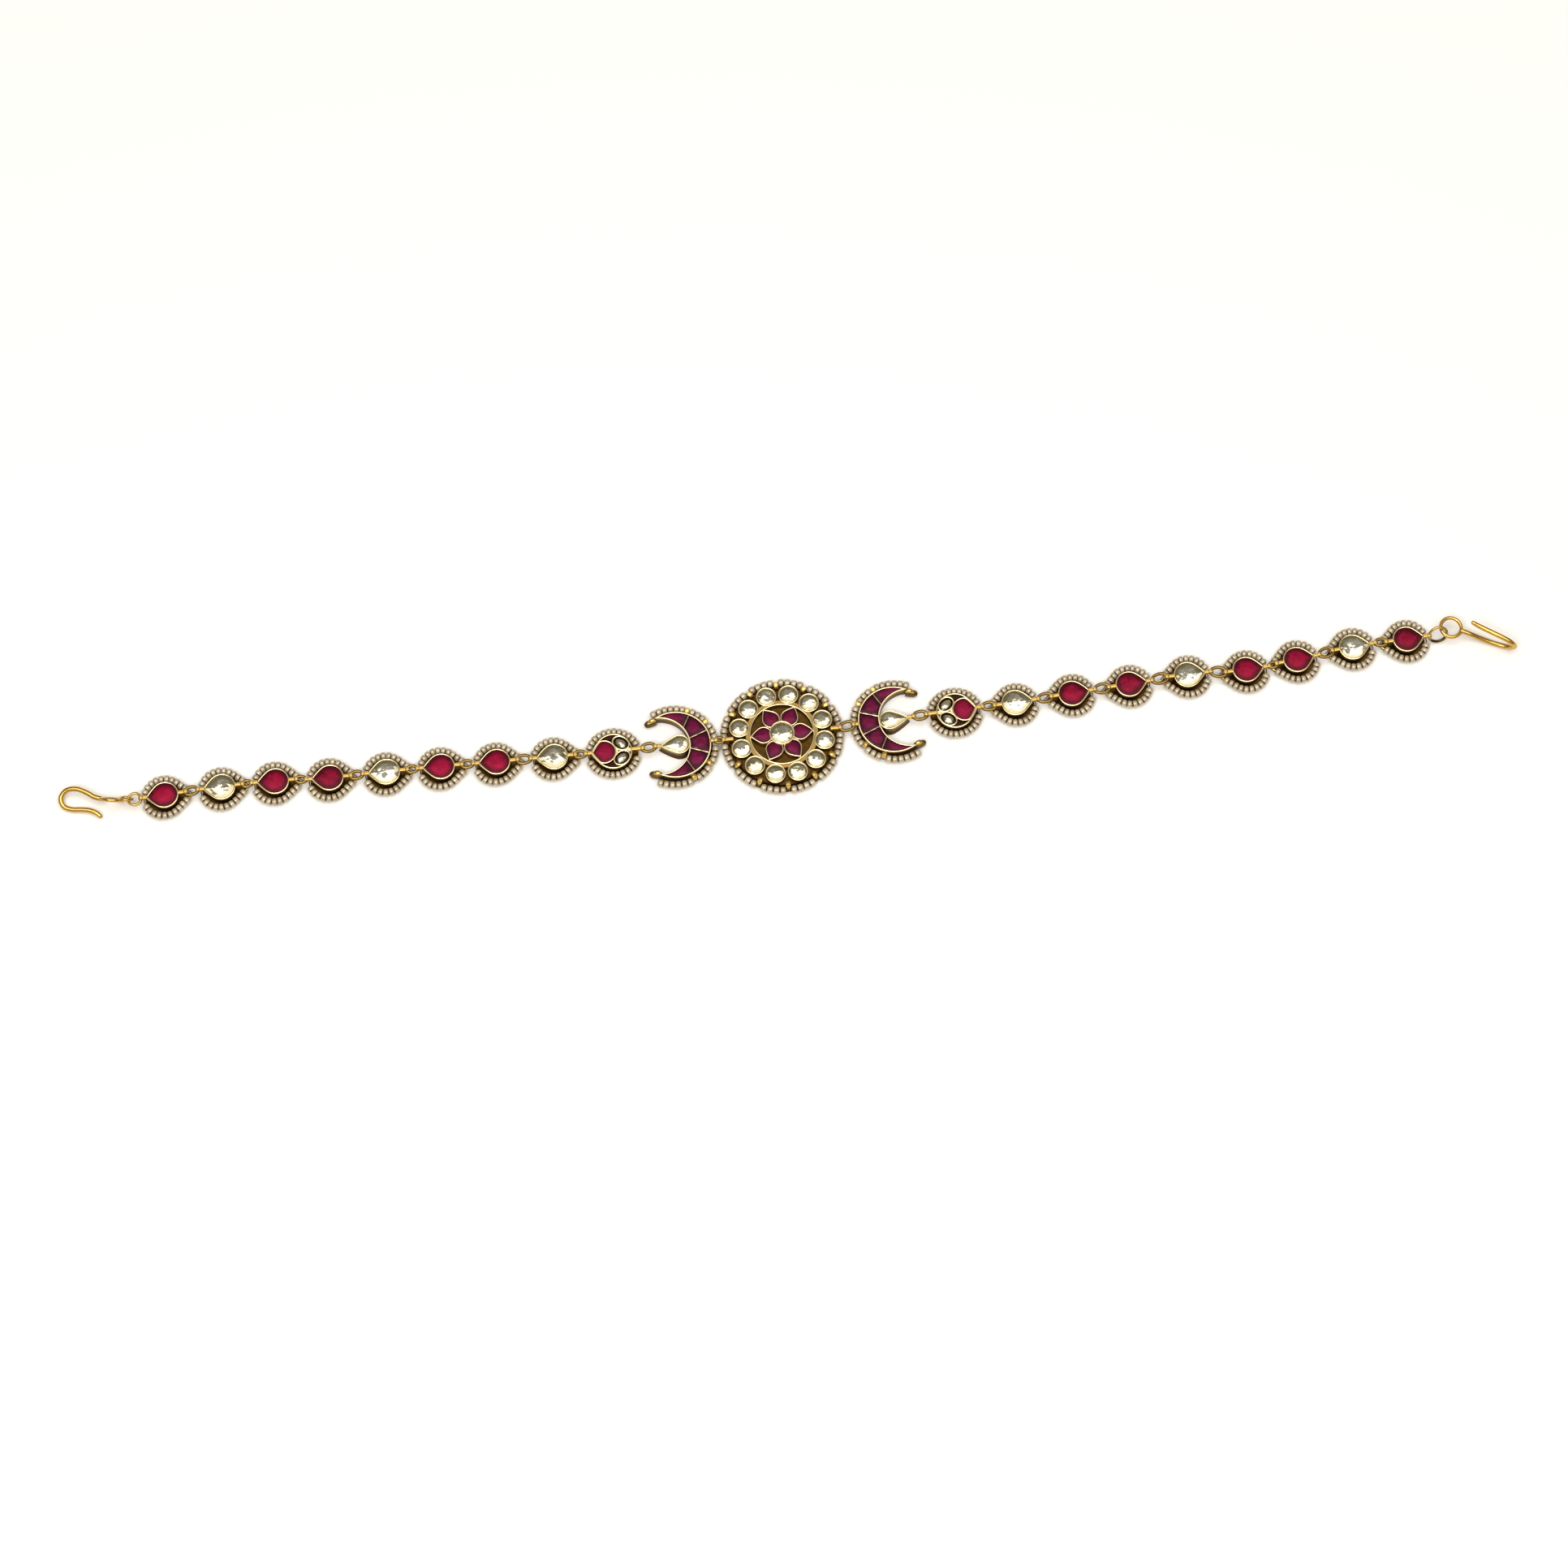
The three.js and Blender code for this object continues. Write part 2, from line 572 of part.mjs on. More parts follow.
// How each hook lies: where its eye is in the last link's frame, how it is turned (degrees about Z, Y and
// X) and how its rings lean. With its second ring it then swings about the middle of the first. The left one
// rests on its eye, its bend and its free end. The right one's eye lies flat, with the free limb above and
// a little aside, by `lean`.
const LEFT_HOOK = {
  ringRadius: 1.5,
  ringRoll: 0,
  swing: -12,
  lean: 0,
  flared: true,
  secondRingRoll: 57,
  eyeAt: [11.97, 0.4, 2.68],
  heading: -4,
  pitch: 4,
  roll: 66,
  twist: -90,
  length: 10,
};
const RIGHT_HOOK = {
  ringRadius: 2.2,
  ringRoll: 65,
  swing: 0,
  lean: 1.4,
  flared: false,
  eyeAt: [10.63, 1.1, 3.25],
  heading: -26.5,
  pitch: 4.5,
  roll: 0,
  twist: 100,
  length: 13.6,
};

const medallion = new THREE.Group();
chain.add(medallion);
const sides = [
  { outward: -1, nearest: side("left", LEFT, LEFT_HOOK) },
  { outward: 1, nearest: side("right", RIGHT, RIGHT_HOOK) },
];
const rings = sides.map(({ outward, nearest }) => {
  const solderedAt = new THREE.Vector2(outward * (MEDALLION.lug - LUG.post), 0);
  return jumpRing(solderedAt, postInside(nearest, medallion));
});
named("medallion_setting", join([medallionSetting(), ...rings]), GOLD, medallion);
named("medallion_pearls", medallionPearls(), PEARL, medallion);

export default chain;
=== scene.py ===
from dataclasses import dataclass

import bpy
import numpy as np
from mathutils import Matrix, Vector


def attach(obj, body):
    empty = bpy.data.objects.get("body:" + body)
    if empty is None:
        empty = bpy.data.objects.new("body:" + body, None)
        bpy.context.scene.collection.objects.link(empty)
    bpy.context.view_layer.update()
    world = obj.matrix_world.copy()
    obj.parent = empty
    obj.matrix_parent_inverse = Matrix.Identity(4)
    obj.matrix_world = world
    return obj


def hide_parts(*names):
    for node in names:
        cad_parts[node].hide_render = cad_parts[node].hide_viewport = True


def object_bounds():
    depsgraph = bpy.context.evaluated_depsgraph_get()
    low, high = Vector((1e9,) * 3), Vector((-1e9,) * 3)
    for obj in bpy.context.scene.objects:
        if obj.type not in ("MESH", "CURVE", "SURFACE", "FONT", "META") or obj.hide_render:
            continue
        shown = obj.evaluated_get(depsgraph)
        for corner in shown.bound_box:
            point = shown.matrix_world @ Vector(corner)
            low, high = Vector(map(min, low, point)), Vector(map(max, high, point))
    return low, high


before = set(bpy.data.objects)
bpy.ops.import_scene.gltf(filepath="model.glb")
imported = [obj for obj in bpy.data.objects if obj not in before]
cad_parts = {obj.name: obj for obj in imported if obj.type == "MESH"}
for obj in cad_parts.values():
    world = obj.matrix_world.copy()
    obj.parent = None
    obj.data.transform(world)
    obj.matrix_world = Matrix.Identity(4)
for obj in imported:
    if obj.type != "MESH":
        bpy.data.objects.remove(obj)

cad_low, cad_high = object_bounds()
rng = np.random.default_rng(7)

# ==== Medallion: the setting ==========================================================================
# Gilded brass. Twelve round cups stand round a collar, and six petal cups round a centre cup lie inside
# it, all soldered to one back plate. A pierced bar at each end carries the jump rings.
PLATE_TOP = 0.3e-3
BEZEL_TOP = 3.0e-3
CUP_FLOOR = 1.9e-3
CUP_WALL = 0.32e-3
MEDALLION_PLATE = 13.9e-3
MEDALLION_STEP, STEP_TOP = 12.6e-3, 1.5e-3
CELLS = 12
CELL_RADIUS = 2.44e-3
CELL_ORBIT = 10.3e-3
COLLAR = 7.45e-3
COLLAR_BASE = 0.4e-3
COLLAR_FLOOR = 1.4e-3
WASHER_INNER, WASHER_OUTER = COLLAR + 0.2e-3, CELL_ORBIT - 1.65e-3
WASHER_LOW, WASHER_TOP = 1.2e-3, BEZEL_TOP - 0.26e-3
PETALS = 6
PETAL_RADIUS = 2.15e-3
PETAL_REACH = 3.15e-3
PETAL_TOP = 3.35e-3
PETAL_FLOOR = 2.2e-3
PETAL_ORBIT = COLLAR - PETAL_REACH + 0.1e-3
CENTRE_RADIUS = 3.05e-3
CENTRE_TOP = 3.7e-3
CENTRE_FLOOR = 2.6e-3
MEDALLION_EYE_ROOT, MEDALLION_EYE = 11.6e-3, 14.6e-3
MEDALLION_STAPLE = (11.9e-3, 12.9e-3, MEDALLION_PLATE)
EYE_POST = 0.5e-3
EYE_STEM_BACK, EYE_STEM_HEIGHT = 1.05e-3, 2.8e-3
EYE_WIDTH = 0.95e-3
EYE_LOOP = (1.04e-3, 0.92e-3)
EYE_LOOP_BACK, EYE_LOOP_HEIGHT = 0.65e-3, 2.82e-3
EYE_STRAP = 0.24e-3
THREAD_HEIGHT = 1.25e-3
THREAD_WIRE = 0.15e-3
MEDALLION_THREAD = 13.95e-3
FINE_STEPS = 96


@dataclass
class Surface:
    """A closed skin of four-sided and three-sided faces. `own` says where each point is on its own small
    shape: on stones and pearls the first two values run from -1 to 1 across it, and the third is a tone
    for the whole shape. On metal the second is how far painted shade turns it brown, and the third makes
    it a polished fitting, as `polished` says."""

    points: np.ndarray
    quads: np.ndarray
    triangles: np.ndarray
    own: np.ndarray


def towards(degrees):
    """x and y are the cosine and the sine of an angle in degrees."""
    angle = np.radians(degrees)
    return np.stack([np.cos(angle), np.sin(angle)], axis=-1)


def circle(radius, offset, steps=40):
    """x and y are the radius times the cosine and the sine of evenly spaced angles."""
    angle = np.linspace(0, 2 * np.pi, steps, endpoint=False)
    return (radius + offset) * np.stack([np.cos(angle), np.sin(angle)], axis=1)


def teardrop(radius, reach, offset):
    """A round end about the origin, and two shallow arcs of one larger radius that meet in a point on +X.
    The larger radius is the one whose arc leaves the round end smoothly and passes through the point."""
    radius, reach = radius + offset, reach + 1.35 * offset
    leave = np.arccos(radius / reach) + np.radians(8)
    back = (reach**2 - radius**2) / (2 * (radius - reach * np.cos(leave)))
    middle = -back * np.array([np.cos(leave), np.sin(leave)])
    tip = np.arctan2(-middle[1], reach - middle[0])
    slope = np.linspace(tip, leave, 8)
    side = middle + (back + radius) * np.stack([np.cos(slope), np.sin(slope)], axis=1)
    angle = np.linspace(leave, 2 * np.pi - leave, 26)[1:-1]
    rounded = radius * np.stack([np.cos(angle), np.sin(angle)], axis=1)
    return np.concatenate([side, rounded, side[:0:-1] * (1, -1)])


def closed_shell(grid, own=None):
    """Rings of points, one after another, with each end closed by a fan about the middle of its ring."""
    rows, columns = grid.shape[:2]
    ring = np.arange(columns)
    after = np.roll(ring, -1)
    start = columns * np.arange(rows - 1)[:, None]
    quads = np.stack([start + ring, start + after, start + columns + after, start + columns + ring], -1)
    first, last = rows * columns, rows * columns + 1
    upper = columns * (rows - 1)
    fan = np.stack([after, ring, np.full(columns, first)], -1)
    far_fan = np.stack([upper + ring, upper + after, np.full(columns, last)], -1)
    if own is None:
        own = np.zeros_like(grid)
    return Surface(
        np.concatenate([grid.reshape(-1, 3), grid[[0, -1]].mean(axis=1)]),
        quads.reshape(-1, 4),
        np.concatenate([fan, far_fan]),
        np.concatenate([own.reshape(-1, 3), own[[0, -1]].mean(axis=1)]),
    )


def closed_band(grid):
    """Rings of points round a closed path, with the last ring joined to the first."""
    rows, columns = grid.shape[:2]
    index = np.arange(rows * columns).reshape(rows, columns)
    along = np.roll(index, -1, axis=0)
    corners = [index, np.roll(index, -1, axis=1), np.roll(along, -1, axis=1), along]
    quads = np.stack(corners, -1).reshape(-1, 4)
    return Surface(grid.reshape(-1, 3), quads, np.zeros((0, 3), int), np.zeros((rows * columns, 3)))


def stacked(outline, rows):
    """One ring of points for each (offset, height): the outline grown by the offset, at that height."""
    flat = np.array([outline(offset) for offset, _ in rows])
    height = np.array([height for _, height in rows])
    return np.concatenate([flat, np.broadcast_to(height[:, None, None], (*flat.shape[:2], 1))], axis=2)


def cup(outline, top, floor, wall=CUP_WALL, foot=0.0, low=0.12e-3):
    """A cup's section carried round an outline: up an upright wall, over a fully rounded lip, and down
    inside to the floor."""
    lip = wall / 2
    rows = [
        (foot, low),
        (foot, low + 0.25e-3),
        (0.3 * foot, low + 0.5 * (top - low)),
        (0.0, top - lip),
        (-0.3 * lip, top - 0.3 * lip),
        (-lip, top),
        (0.3 * lip - wall, top - 0.3 * lip),
        (-wall, top - lip),
        (-wall, floor),
    ]
    return closed_shell(stacked(outline, rows))


def disc(outline, low, top):
    """A flat plate with softened edges."""
    edge = 0.08e-3
    rows = [(-edge, low), (0.0, low + edge), (0.0, top - edge), (-edge, top)]
    return closed_shell(stacked(outline, rows))


def washer(inner, outer, low, top):
    """A flat ring: its four corners carried round a circle."""
    angle = np.linspace(0, 2 * np.pi, FINE_STEPS, endpoint=False)[:, None]
    radius = np.array([inner, inner, outer, outer])
    height = np.array([low, top, top, low]) + 0 * angle
    return closed_band(np.stack([radius * np.cos(angle), radius * np.sin(angle), height], axis=-1))


def hoop(radius_x, radius_y, wire, height, steps, sides=8):
    """A round wire bent to an oval that lies flat: the section is carried round the oval's outline."""
    angle = np.linspace(0, 2 * np.pi, steps, endpoint=False)[:, None]
    turn = np.linspace(0, 2 * np.pi, sides, endpoint=False)[None, :]
    x = (radius_x + wire * np.cos(turn)) * np.cos(angle)
    y = (radius_y + wire * np.cos(turn)) * np.sin(angle)
    z = height + wire * np.sin(turn) + 0 * angle
    return closed_band(np.stack([x, y, z], axis=-1))


def oval_section(breadth, depth, sides, square):
    """A closed section: an oval whose cosine and sine are raised to a power, below 1 for a squarer one."""
    angle = np.linspace(0, 2 * np.pi, sides, endpoint=False)
    across = np.sign(np.cos(angle)) * np.abs(np.cos(angle)) ** square
    up = np.sign(np.sin(angle)) * np.abs(np.sin(angle)) ** square
    return 0.5 * np.multiply.outer(breadth, across), 0.5 * np.multiply.outer(depth, up)


def swept(path, breadth, depth, sides, square=1.0, closed=False, aside=0.0):
    """A section carried along a path in the XZ plane: its breadth lies along Y, and its depth along the
    path's normal, a quarter turn from the direction between the points on either side. Each section then
    moves `aside` along Y."""
    path = np.asarray(path, float)
    if closed:
        along = np.roll(path, -1, axis=0) - np.roll(path, 1, axis=0)
    else:
        along = np.gradient(path, axis=0)
    along /= np.linalg.norm(along, axis=1, keepdims=True)
    normal = np.stack([-along[:, 1], along[:, 0]], axis=1)
    ones = np.ones(len(path))
    across, up = oval_section(breadth * ones, depth * ones, sides, square)
    x = path[:, :1] + normal[:, :1] * up
    z = path[:, 1:] + normal[:, 1:] * up
    grid = np.stack([x, across + np.reshape(aside, (-1, 1)), z], axis=-1)
    return closed_band(grid) if closed else closed_shell(grid)


def placed(surface, x=0.0, y=0.0, turn=0.0, z=0.0):
    """Each point is turned about Z by an angle in degrees, and then moved."""
    c, s = np.cos(np.radians(turn)), np.sin(np.radians(turn))
    points = surface.points @ np.array([[c, s, 0], [-s, c, 0], [0, 0, 1]]) + (x, y, z)
    return Surface(points, surface.quads, surface.triangles, surface.own)


def moved(surfaces, place):
    """Surfaces turned and moved from their own frame to a place, which is its (middle, turn)."""
    middle, turn = place
    return [placed(surface, *middle, turn) for surface in surfaces]


def polished(surfaces, painted_shade=0.0):
    """Fittings are rubbed brighter than the cups, so the third of their own values is 1. The second, from
    0 to 1, turns them back to brown as painted shade, for parts that sit in shade."""
    return [Surface(s.points, s.quads, s.triangles, s.own + (0, painted_shade, 1)) for s in surfaces]


def stem(start, end):
    """A straight squarish bar along X with softened ends."""
    soft = 0.1e-3
    path = [(x, EYE_STEM_HEIGHT) for x in (start, start + soft, end - soft, end)]
    taper = EYE_WIDTH * np.array([0.7, 1.0, 1.0, 0.7])
    return swept(path, taper, taper, 12, 0.45)


def eye(start, end):
    """A pierced bar: a short stem out of the bezel, and a flat strap bent round into a loop at its end."""
    bend_x, bend_z = oval_section(*EYE_LOOP, 20, 0.7)
    loop = np.stack([end - EYE_LOOP_BACK + bend_x, EYE_LOOP_HEIGHT + bend_z], axis=1)
    strap = swept(loop, EYE_WIDTH, EYE_STRAP, 8, 0.6, closed=True)
    return polished([stem(start, end - EYE_STEM_BACK), strap])


def eyes(outer, inner):
    """The two eyes of a link, each given by where it leaves the bezel and where it ends: the outer one on
    +X and the inner one on -X."""
    return eye(*outer) + [placed(part, turn=180) for part in eye(*inner)]


def staple(start, crown, tail, height=2.7e-3):
    """A gold strap that holds the thread: a chunky nub over the gap between two pearls, with a narrow
    tail down to the thread. Its line runs outwards along +X."""
    rise = [start, start + 0.1e-3]
    nub = [crown - 0.5e-3, crown - 0.2e-3, crown + 0.2e-3, crown + 0.5e-3]
    x = np.array([*rise, *nub, tail])
    z = np.array([1.7e-3, 2.2e-3, height - 0.15e-3, height, height, height - 0.25e-3, 1.5e-3])
    breadth = np.array([0.5, 0.7, 1.15, 1.3, 1.3, 1.1, 0.6]) * 1e-3
    depth = np.array([0.3, 0.5, 0.8, 0.95, 0.9, 0.6, 0.25]) * 1e-3
    return polished([swept(np.column_stack([x, z]), breadth, depth, 10, 0.8)])[0]


def facing_out(surface):
    """The faces are turned round if the volume that they enclose, the sum of their tetrahedra, is
    negative."""
    corners = surface.points[surface.quads]
    whole = surface.points[surface.triangles]
    halves = np.concatenate([corners[:, [0, 1, 2]], corners[:, [0, 2, 3]], whole])
    if np.einsum("ij,ij->", halves[:, 0], np.cross(halves[:, 1], halves[:, 2])) < 0:
        return surface.quads[:, ::-1], surface.triangles[:, ::-1]
    return surface.quads, surface.triangles


def piece(name, surfaces, material, nodes=(), crease=38):
    """Makes one object of closed surfaces. Edges bent by more than `crease` degrees stay sharp."""
    faces, start = [], 0
    for surface in surfaces:
        quads, triangles = facing_out(surface)
        faces += (quads + start).tolist() + (triangles + start).tolist()
        start += len(surface.points)
    mesh = bpy.data.meshes.new(name)
    mesh.from_pydata(np.concatenate([s.points for s in surfaces]), [], faces)
    own = mesh.attributes.new("own", "FLOAT_VECTOR", "POINT")
    own.data.foreach_set("vector", np.concatenate([s.own for s in surfaces]).astype(np.float32).ravel())
    mesh.shade_smooth()
    mesh.set_sharp_from_angle(angle=np.radians(crease))
    mesh.materials.append(material)
    made = bpy.data.objects.new(name, mesh)
    bpy.context.scene.collection.objects.link(made)
    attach(made, "root")
    if nodes:
        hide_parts(*nodes)
    return made


def feed(socket, value):
    """A socket is linked to the output that it is given, or set to a plain number or colour."""
    if isinstance(value, bpy.types.NodeSocket):
        socket.id_data.links.new(value, socket)
    else:
        socket.default_value = (*value, 1) if socket.type == "RGBA" else value


def fill(node, **inputs):
    """Feeds the inputs of a node by their names, with underscores for the spaces."""
    for name, value in inputs.items():
        feed(next(s for s in node.inputs if s.enabled and s.name == name.replace("_", " ")), value)


def add(tree, kind, settings=None, **inputs):
    """A new node with its settings and its inputs."""
    node = tree.nodes.new(kind)
    for name, value in (settings or {}).items():
        setattr(node, name, value)
    fill(node, **inputs)
    return node


def only_output(node):
    """The output of a node that has only one in use."""
    return next(s for s in node.outputs if s.enabled)


def worked_out(tree, operation, *terms, kind="ShaderNodeMath", clamp=False):
    """The result of an arithmetic node on its terms, each an output or a plain value."""
    node = add(tree, kind, {"operation": operation})
    if clamp:
        node.use_clamp = True
    for socket, term in zip(node.inputs, terms):
        feed(socket, term)
    return only_output(node)


def ramp(tree, value, low, high):
    """A value mapped smoothly from low and high to 0 and 1."""
    smooth = {"interpolation_type": "SMOOTHSTEP"}
    return only_output(add(tree, "ShaderNodeMapRange", smooth, Value=value, From_Min=low, From_Max=high))


def mixed(tree, factor, first, second):
    """A colour between two, each an output or a plain colour."""
    return only_output(add(tree, "ShaderNodeMix", {"data_type": "RGBA"}, Factor=factor, A=first, B=second))


def own_values(tree):
    """The three values of `own`, as separate outputs."""
    own = add(tree, "ShaderNodeAttribute", {"attribute_name": "own"})
    return add(tree, "ShaderNodeSeparateXYZ", Vector=own.outputs["Vector"]).outputs


def new_group(name, colours, values):
    """An empty node group with named colours and values for its inputs. It puts out a finish: a colour, a
    roughness and the height of the fine relief."""
    group = bpy.data.node_groups.new(name, "ShaderNodeTree")
    for sockets, kind, side in (
        (colours, "NodeSocketColor", "INPUT"),
        (values, "NodeSocketFloat", "INPUT"),
        (["Color"], "NodeSocketColor", "OUTPUT"),
        (["Roughness", "Height"], "NodeSocketFloat", "OUTPUT"),
    ):
        for socket in sockets:
            group.interface.new_socket(socket, in_out=side, socket_type=kind)
    return group


def gilding_group():
    """Gilding painted brown low down as painted shade, gold higher on the walls and pale on each cup's lip
    as a painted highlight, with small pits and cloudy patches. `Low` and `High` are the heights between
    which the painted shade turns gold, and `Lip Low` and `Lip High` those between which the painted
    highlight turns it pale. The third of the own values makes it polished instead, and the second takes it
    back to the brown of the painted shade."""
    colours = ["Lip", "Bright", "Recess", "Polished"]
    group = new_group("gilding", colours, ["Low", "High", "Lip Low", "Lip High", "Roughness"])
    given = add(group, "NodeGroupInput").outputs
    own = own_values(group)
    place = add(group, "ShaderNodeTexCoord").outputs["Object"]
    height = add(group, "ShaderNodeSeparateXYZ", Vector=place).outputs["Z"]
    cloud = add(group, "ShaderNodeTexNoise", Vector=place, Scale=700.0, Detail=3.0).outputs["Fac"]
    pits = add(group, "ShaderNodeTexNoise", Vector=place, Scale=5200.0, Detail=2.0).outputs["Fac"]
    patchy = worked_out(group, "MULTIPLY_ADD", cloud, 0.5, -0.25)
    # Painted shade: below `Low` the metal is brown, turning gold by `High`, broken by cloudy patches.
    shown = worked_out(group, "ADD", ramp(group, height, given["Low"], given["High"]), patchy, clamp=True)
    walls = mixed(group, shown, given["Recess"], given["Bright"])
    # Painted highlight: the top of each cup's lip is painted pale.
    lip_highlight = ramp(group, height, given["Lip Low"], given["Lip High"])
    cups = mixed(group, lip_highlight, walls, given["Lip"])
    fittings = mixed(group, shown, given["Recess"], given["Polished"])
    bright = mixed(group, own["Z"], cups, fittings)
    # The second own value turns the metal back to the brown of the painted shade.
    shaded = mixed(group, own["Y"], bright, given["Recess"])
    rough = worked_out(group, "MULTIPLY_ADD", pits, 0.16, given["Roughness"])
    add(group, "NodeGroupOutput", Color=shaded, Roughness=rough, Height=pits)
    return group


GILDING = gilding_group()


def new_material(name, **inputs):
    """A material with plain values on its shader, and that shader."""
    material = bpy.data.materials.new(name)
    material.use_nodes = True
    shader = material.node_tree.nodes["Principled BSDF"]
    fill(shader, **inputs)
    return material, shader


def relieved(shader, strength, depth, height):
    """Shades the surface as if it rose by the depth where the height is 1."""
    bump = add(shader.id_data, "ShaderNodeBump", Strength=strength, Distance=depth, Height=height)
    fill(shader, Normal=bump.outputs["Normal"])


def finished(name, group, plain, strength, depth, **inputs):
    """A material whose colour, roughness and fine relief come from a group with its own inputs."""
    material, shader = new_material(name, **plain)
    finish = add(material.node_tree, "ShaderNodeGroup", {"node_tree": group}, **inputs).outputs
    fill(shader, Base_Color=finish["Color"], Roughness=finish["Roughness"])
    relieved(shader, strength, depth, finish["Height"])
    return material


def gilded(name, **inputs):
    """A gilded metal, which is the gilding group on plain metal."""
    return finished(name, GILDING, {"Metallic": 1.0}, 0.2, 0.02e-3, **inputs)


# BROWN is painted shade on low parts and on the rings, and CREAM is a painted highlight on each cup's lip.
# BRONZE, YELLOW and HONEY are the gold's own tones.
BROWN, BRONZE, YELLOW = (0.075, 0.038, 0.009), (0.36, 0.225, 0.065), (0.70, 0.47, 0.14)
CREAM, HONEY, DARK_HONEY = (0.94, 0.79, 0.46), (0.62, 0.38, 0.09), (0.40, 0.22, 0.05)
SETTING_GOLD = gilded(
    "setting_gold",
    Recess=BROWN,
    Bright=BRONZE,
    Lip=CREAM,
    Polished=YELLOW,
    Low=1.45e-3,
    High=2.6e-3,
    Lip_Low=2.72e-3,
    Lip_High=2.92e-3,
    Roughness=0.26,
)
# The wire turns towards DARK_HONEY low down: painted shade.
WIRE_GOLD = gilded(
    "wire_gold",
    Recess=DARK_HONEY,
    Bright=HONEY,
    Lip=HONEY,
    Polished=HONEY,
    Low=-2e-3,
    High=1.5e-3,
    Lip_Low=3e-3,
    Lip_High=4e-3,
    Roughness=0.16,
)


def fine_circle(radius):
    """A circle in many short steps, as a function of how far it is grown."""
    return lambda grow: circle(radius, grow, FINE_STEPS)


def petal_outline(grow):
    """A petal's teardrop, grown."""
    return teardrop(PETAL_RADIUS, PETAL_REACH, grow)


CELL_PLACES = [(CELL_ORBIT * towards(360 / CELLS * (i + 0.5)), 0) for i in range(CELLS)]
PETAL_PLACES = [(PETAL_ORBIT * towards(360 / PETALS * i), 360 / PETALS * i) for i in range(PETALS)]
medallion_gold = [
    disc(fine_circle(MEDALLION_PLATE), 0.0, PLATE_TOP),
    disc(fine_circle(MEDALLION_STEP), PLATE_TOP - 0.1e-3, STEP_TOP),
    cup(fine_circle(COLLAR + COLLAR_BASE), BEZEL_TOP, COLLAR_FLOOR, wall=0.36e-3, foot=2 * COLLAR_BASE),
    washer(WASHER_INNER, WASHER_OUTER, WASHER_LOW, WASHER_TOP),
    cup(lambda grow: circle(CENTRE_RADIUS, grow), CENTRE_TOP, CENTRE_FLOOR),
    hoop(MEDALLION_THREAD, MEDALLION_THREAD, THREAD_WIRE, THREAD_HEIGHT, FINE_STEPS),
]
cell = cup(lambda grow: circle(CELL_RADIUS, grow), BEZEL_TOP, CUP_FLOOR)
wrap = staple(*MEDALLION_STAPLE)
for i, place in enumerate(CELL_PLACES):
    medallion_gold += moved([cell], place)
    if i % (CELLS // 2):
        medallion_gold.append(placed(wrap, turn=360 / CELLS * i))
petal = cup(petal_outline, PETAL_TOP, PETAL_FLOOR, wall=0.28e-3)
for place in PETAL_PLACES:
    medallion_gold += moved([petal], place)
medallion_gold += eyes((MEDALLION_EYE_ROOT, MEDALLION_EYE), (MEDALLION_EYE_ROOT, MEDALLION_EYE))

# ==== Medallion: the stones ===========================================================================
# Foil-backed glass in kundan cups: clear rose-cut stones in the round cups, ruby ones in the petals. The
# foil under the glass throws the light back, so each is a tinted mirror beneath a clear polished top.
def gem(outline, top, rise=0.26e-3, low=1.2e-3, inset=0.3e-3, tone=0.5):
    """A domed stone: rings that shrink about the origin, each below the top by `rise` times the square of
    its scale. The girdle is a little lower still, and an upright side goes down from it to the foot."""
    girdle = outline(-inset)
    unit = girdle / np.linalg.norm(girdle, axis=1, keepdims=True)
    scale = np.array([1.0, 1.0, 0.97, 0.85, 0.66, 0.44, 0.22])
    height = top - rise * scale**2
    height[0], height[1] = low, height[1] - 0.06e-3
    grid = np.empty((len(scale), len(girdle), 3))
    grid[..., :2] = scale[:, None, None] * girdle
    grid[..., 2] = height[:, None]
    own = np.full_like(grid, tone)
    own[..., :2] = scale[:, None, None] * unit
    made = closed_shell(grid, own)
    made.points[-1, 2] = top
    return made


FACET_SLOPE = 1500.0


def vector_worked_out(tree, operation, *terms):
    """The result of an arithmetic node on vectors."""
    return worked_out(tree, operation, *terms, kind="ShaderNodeVectorMath")


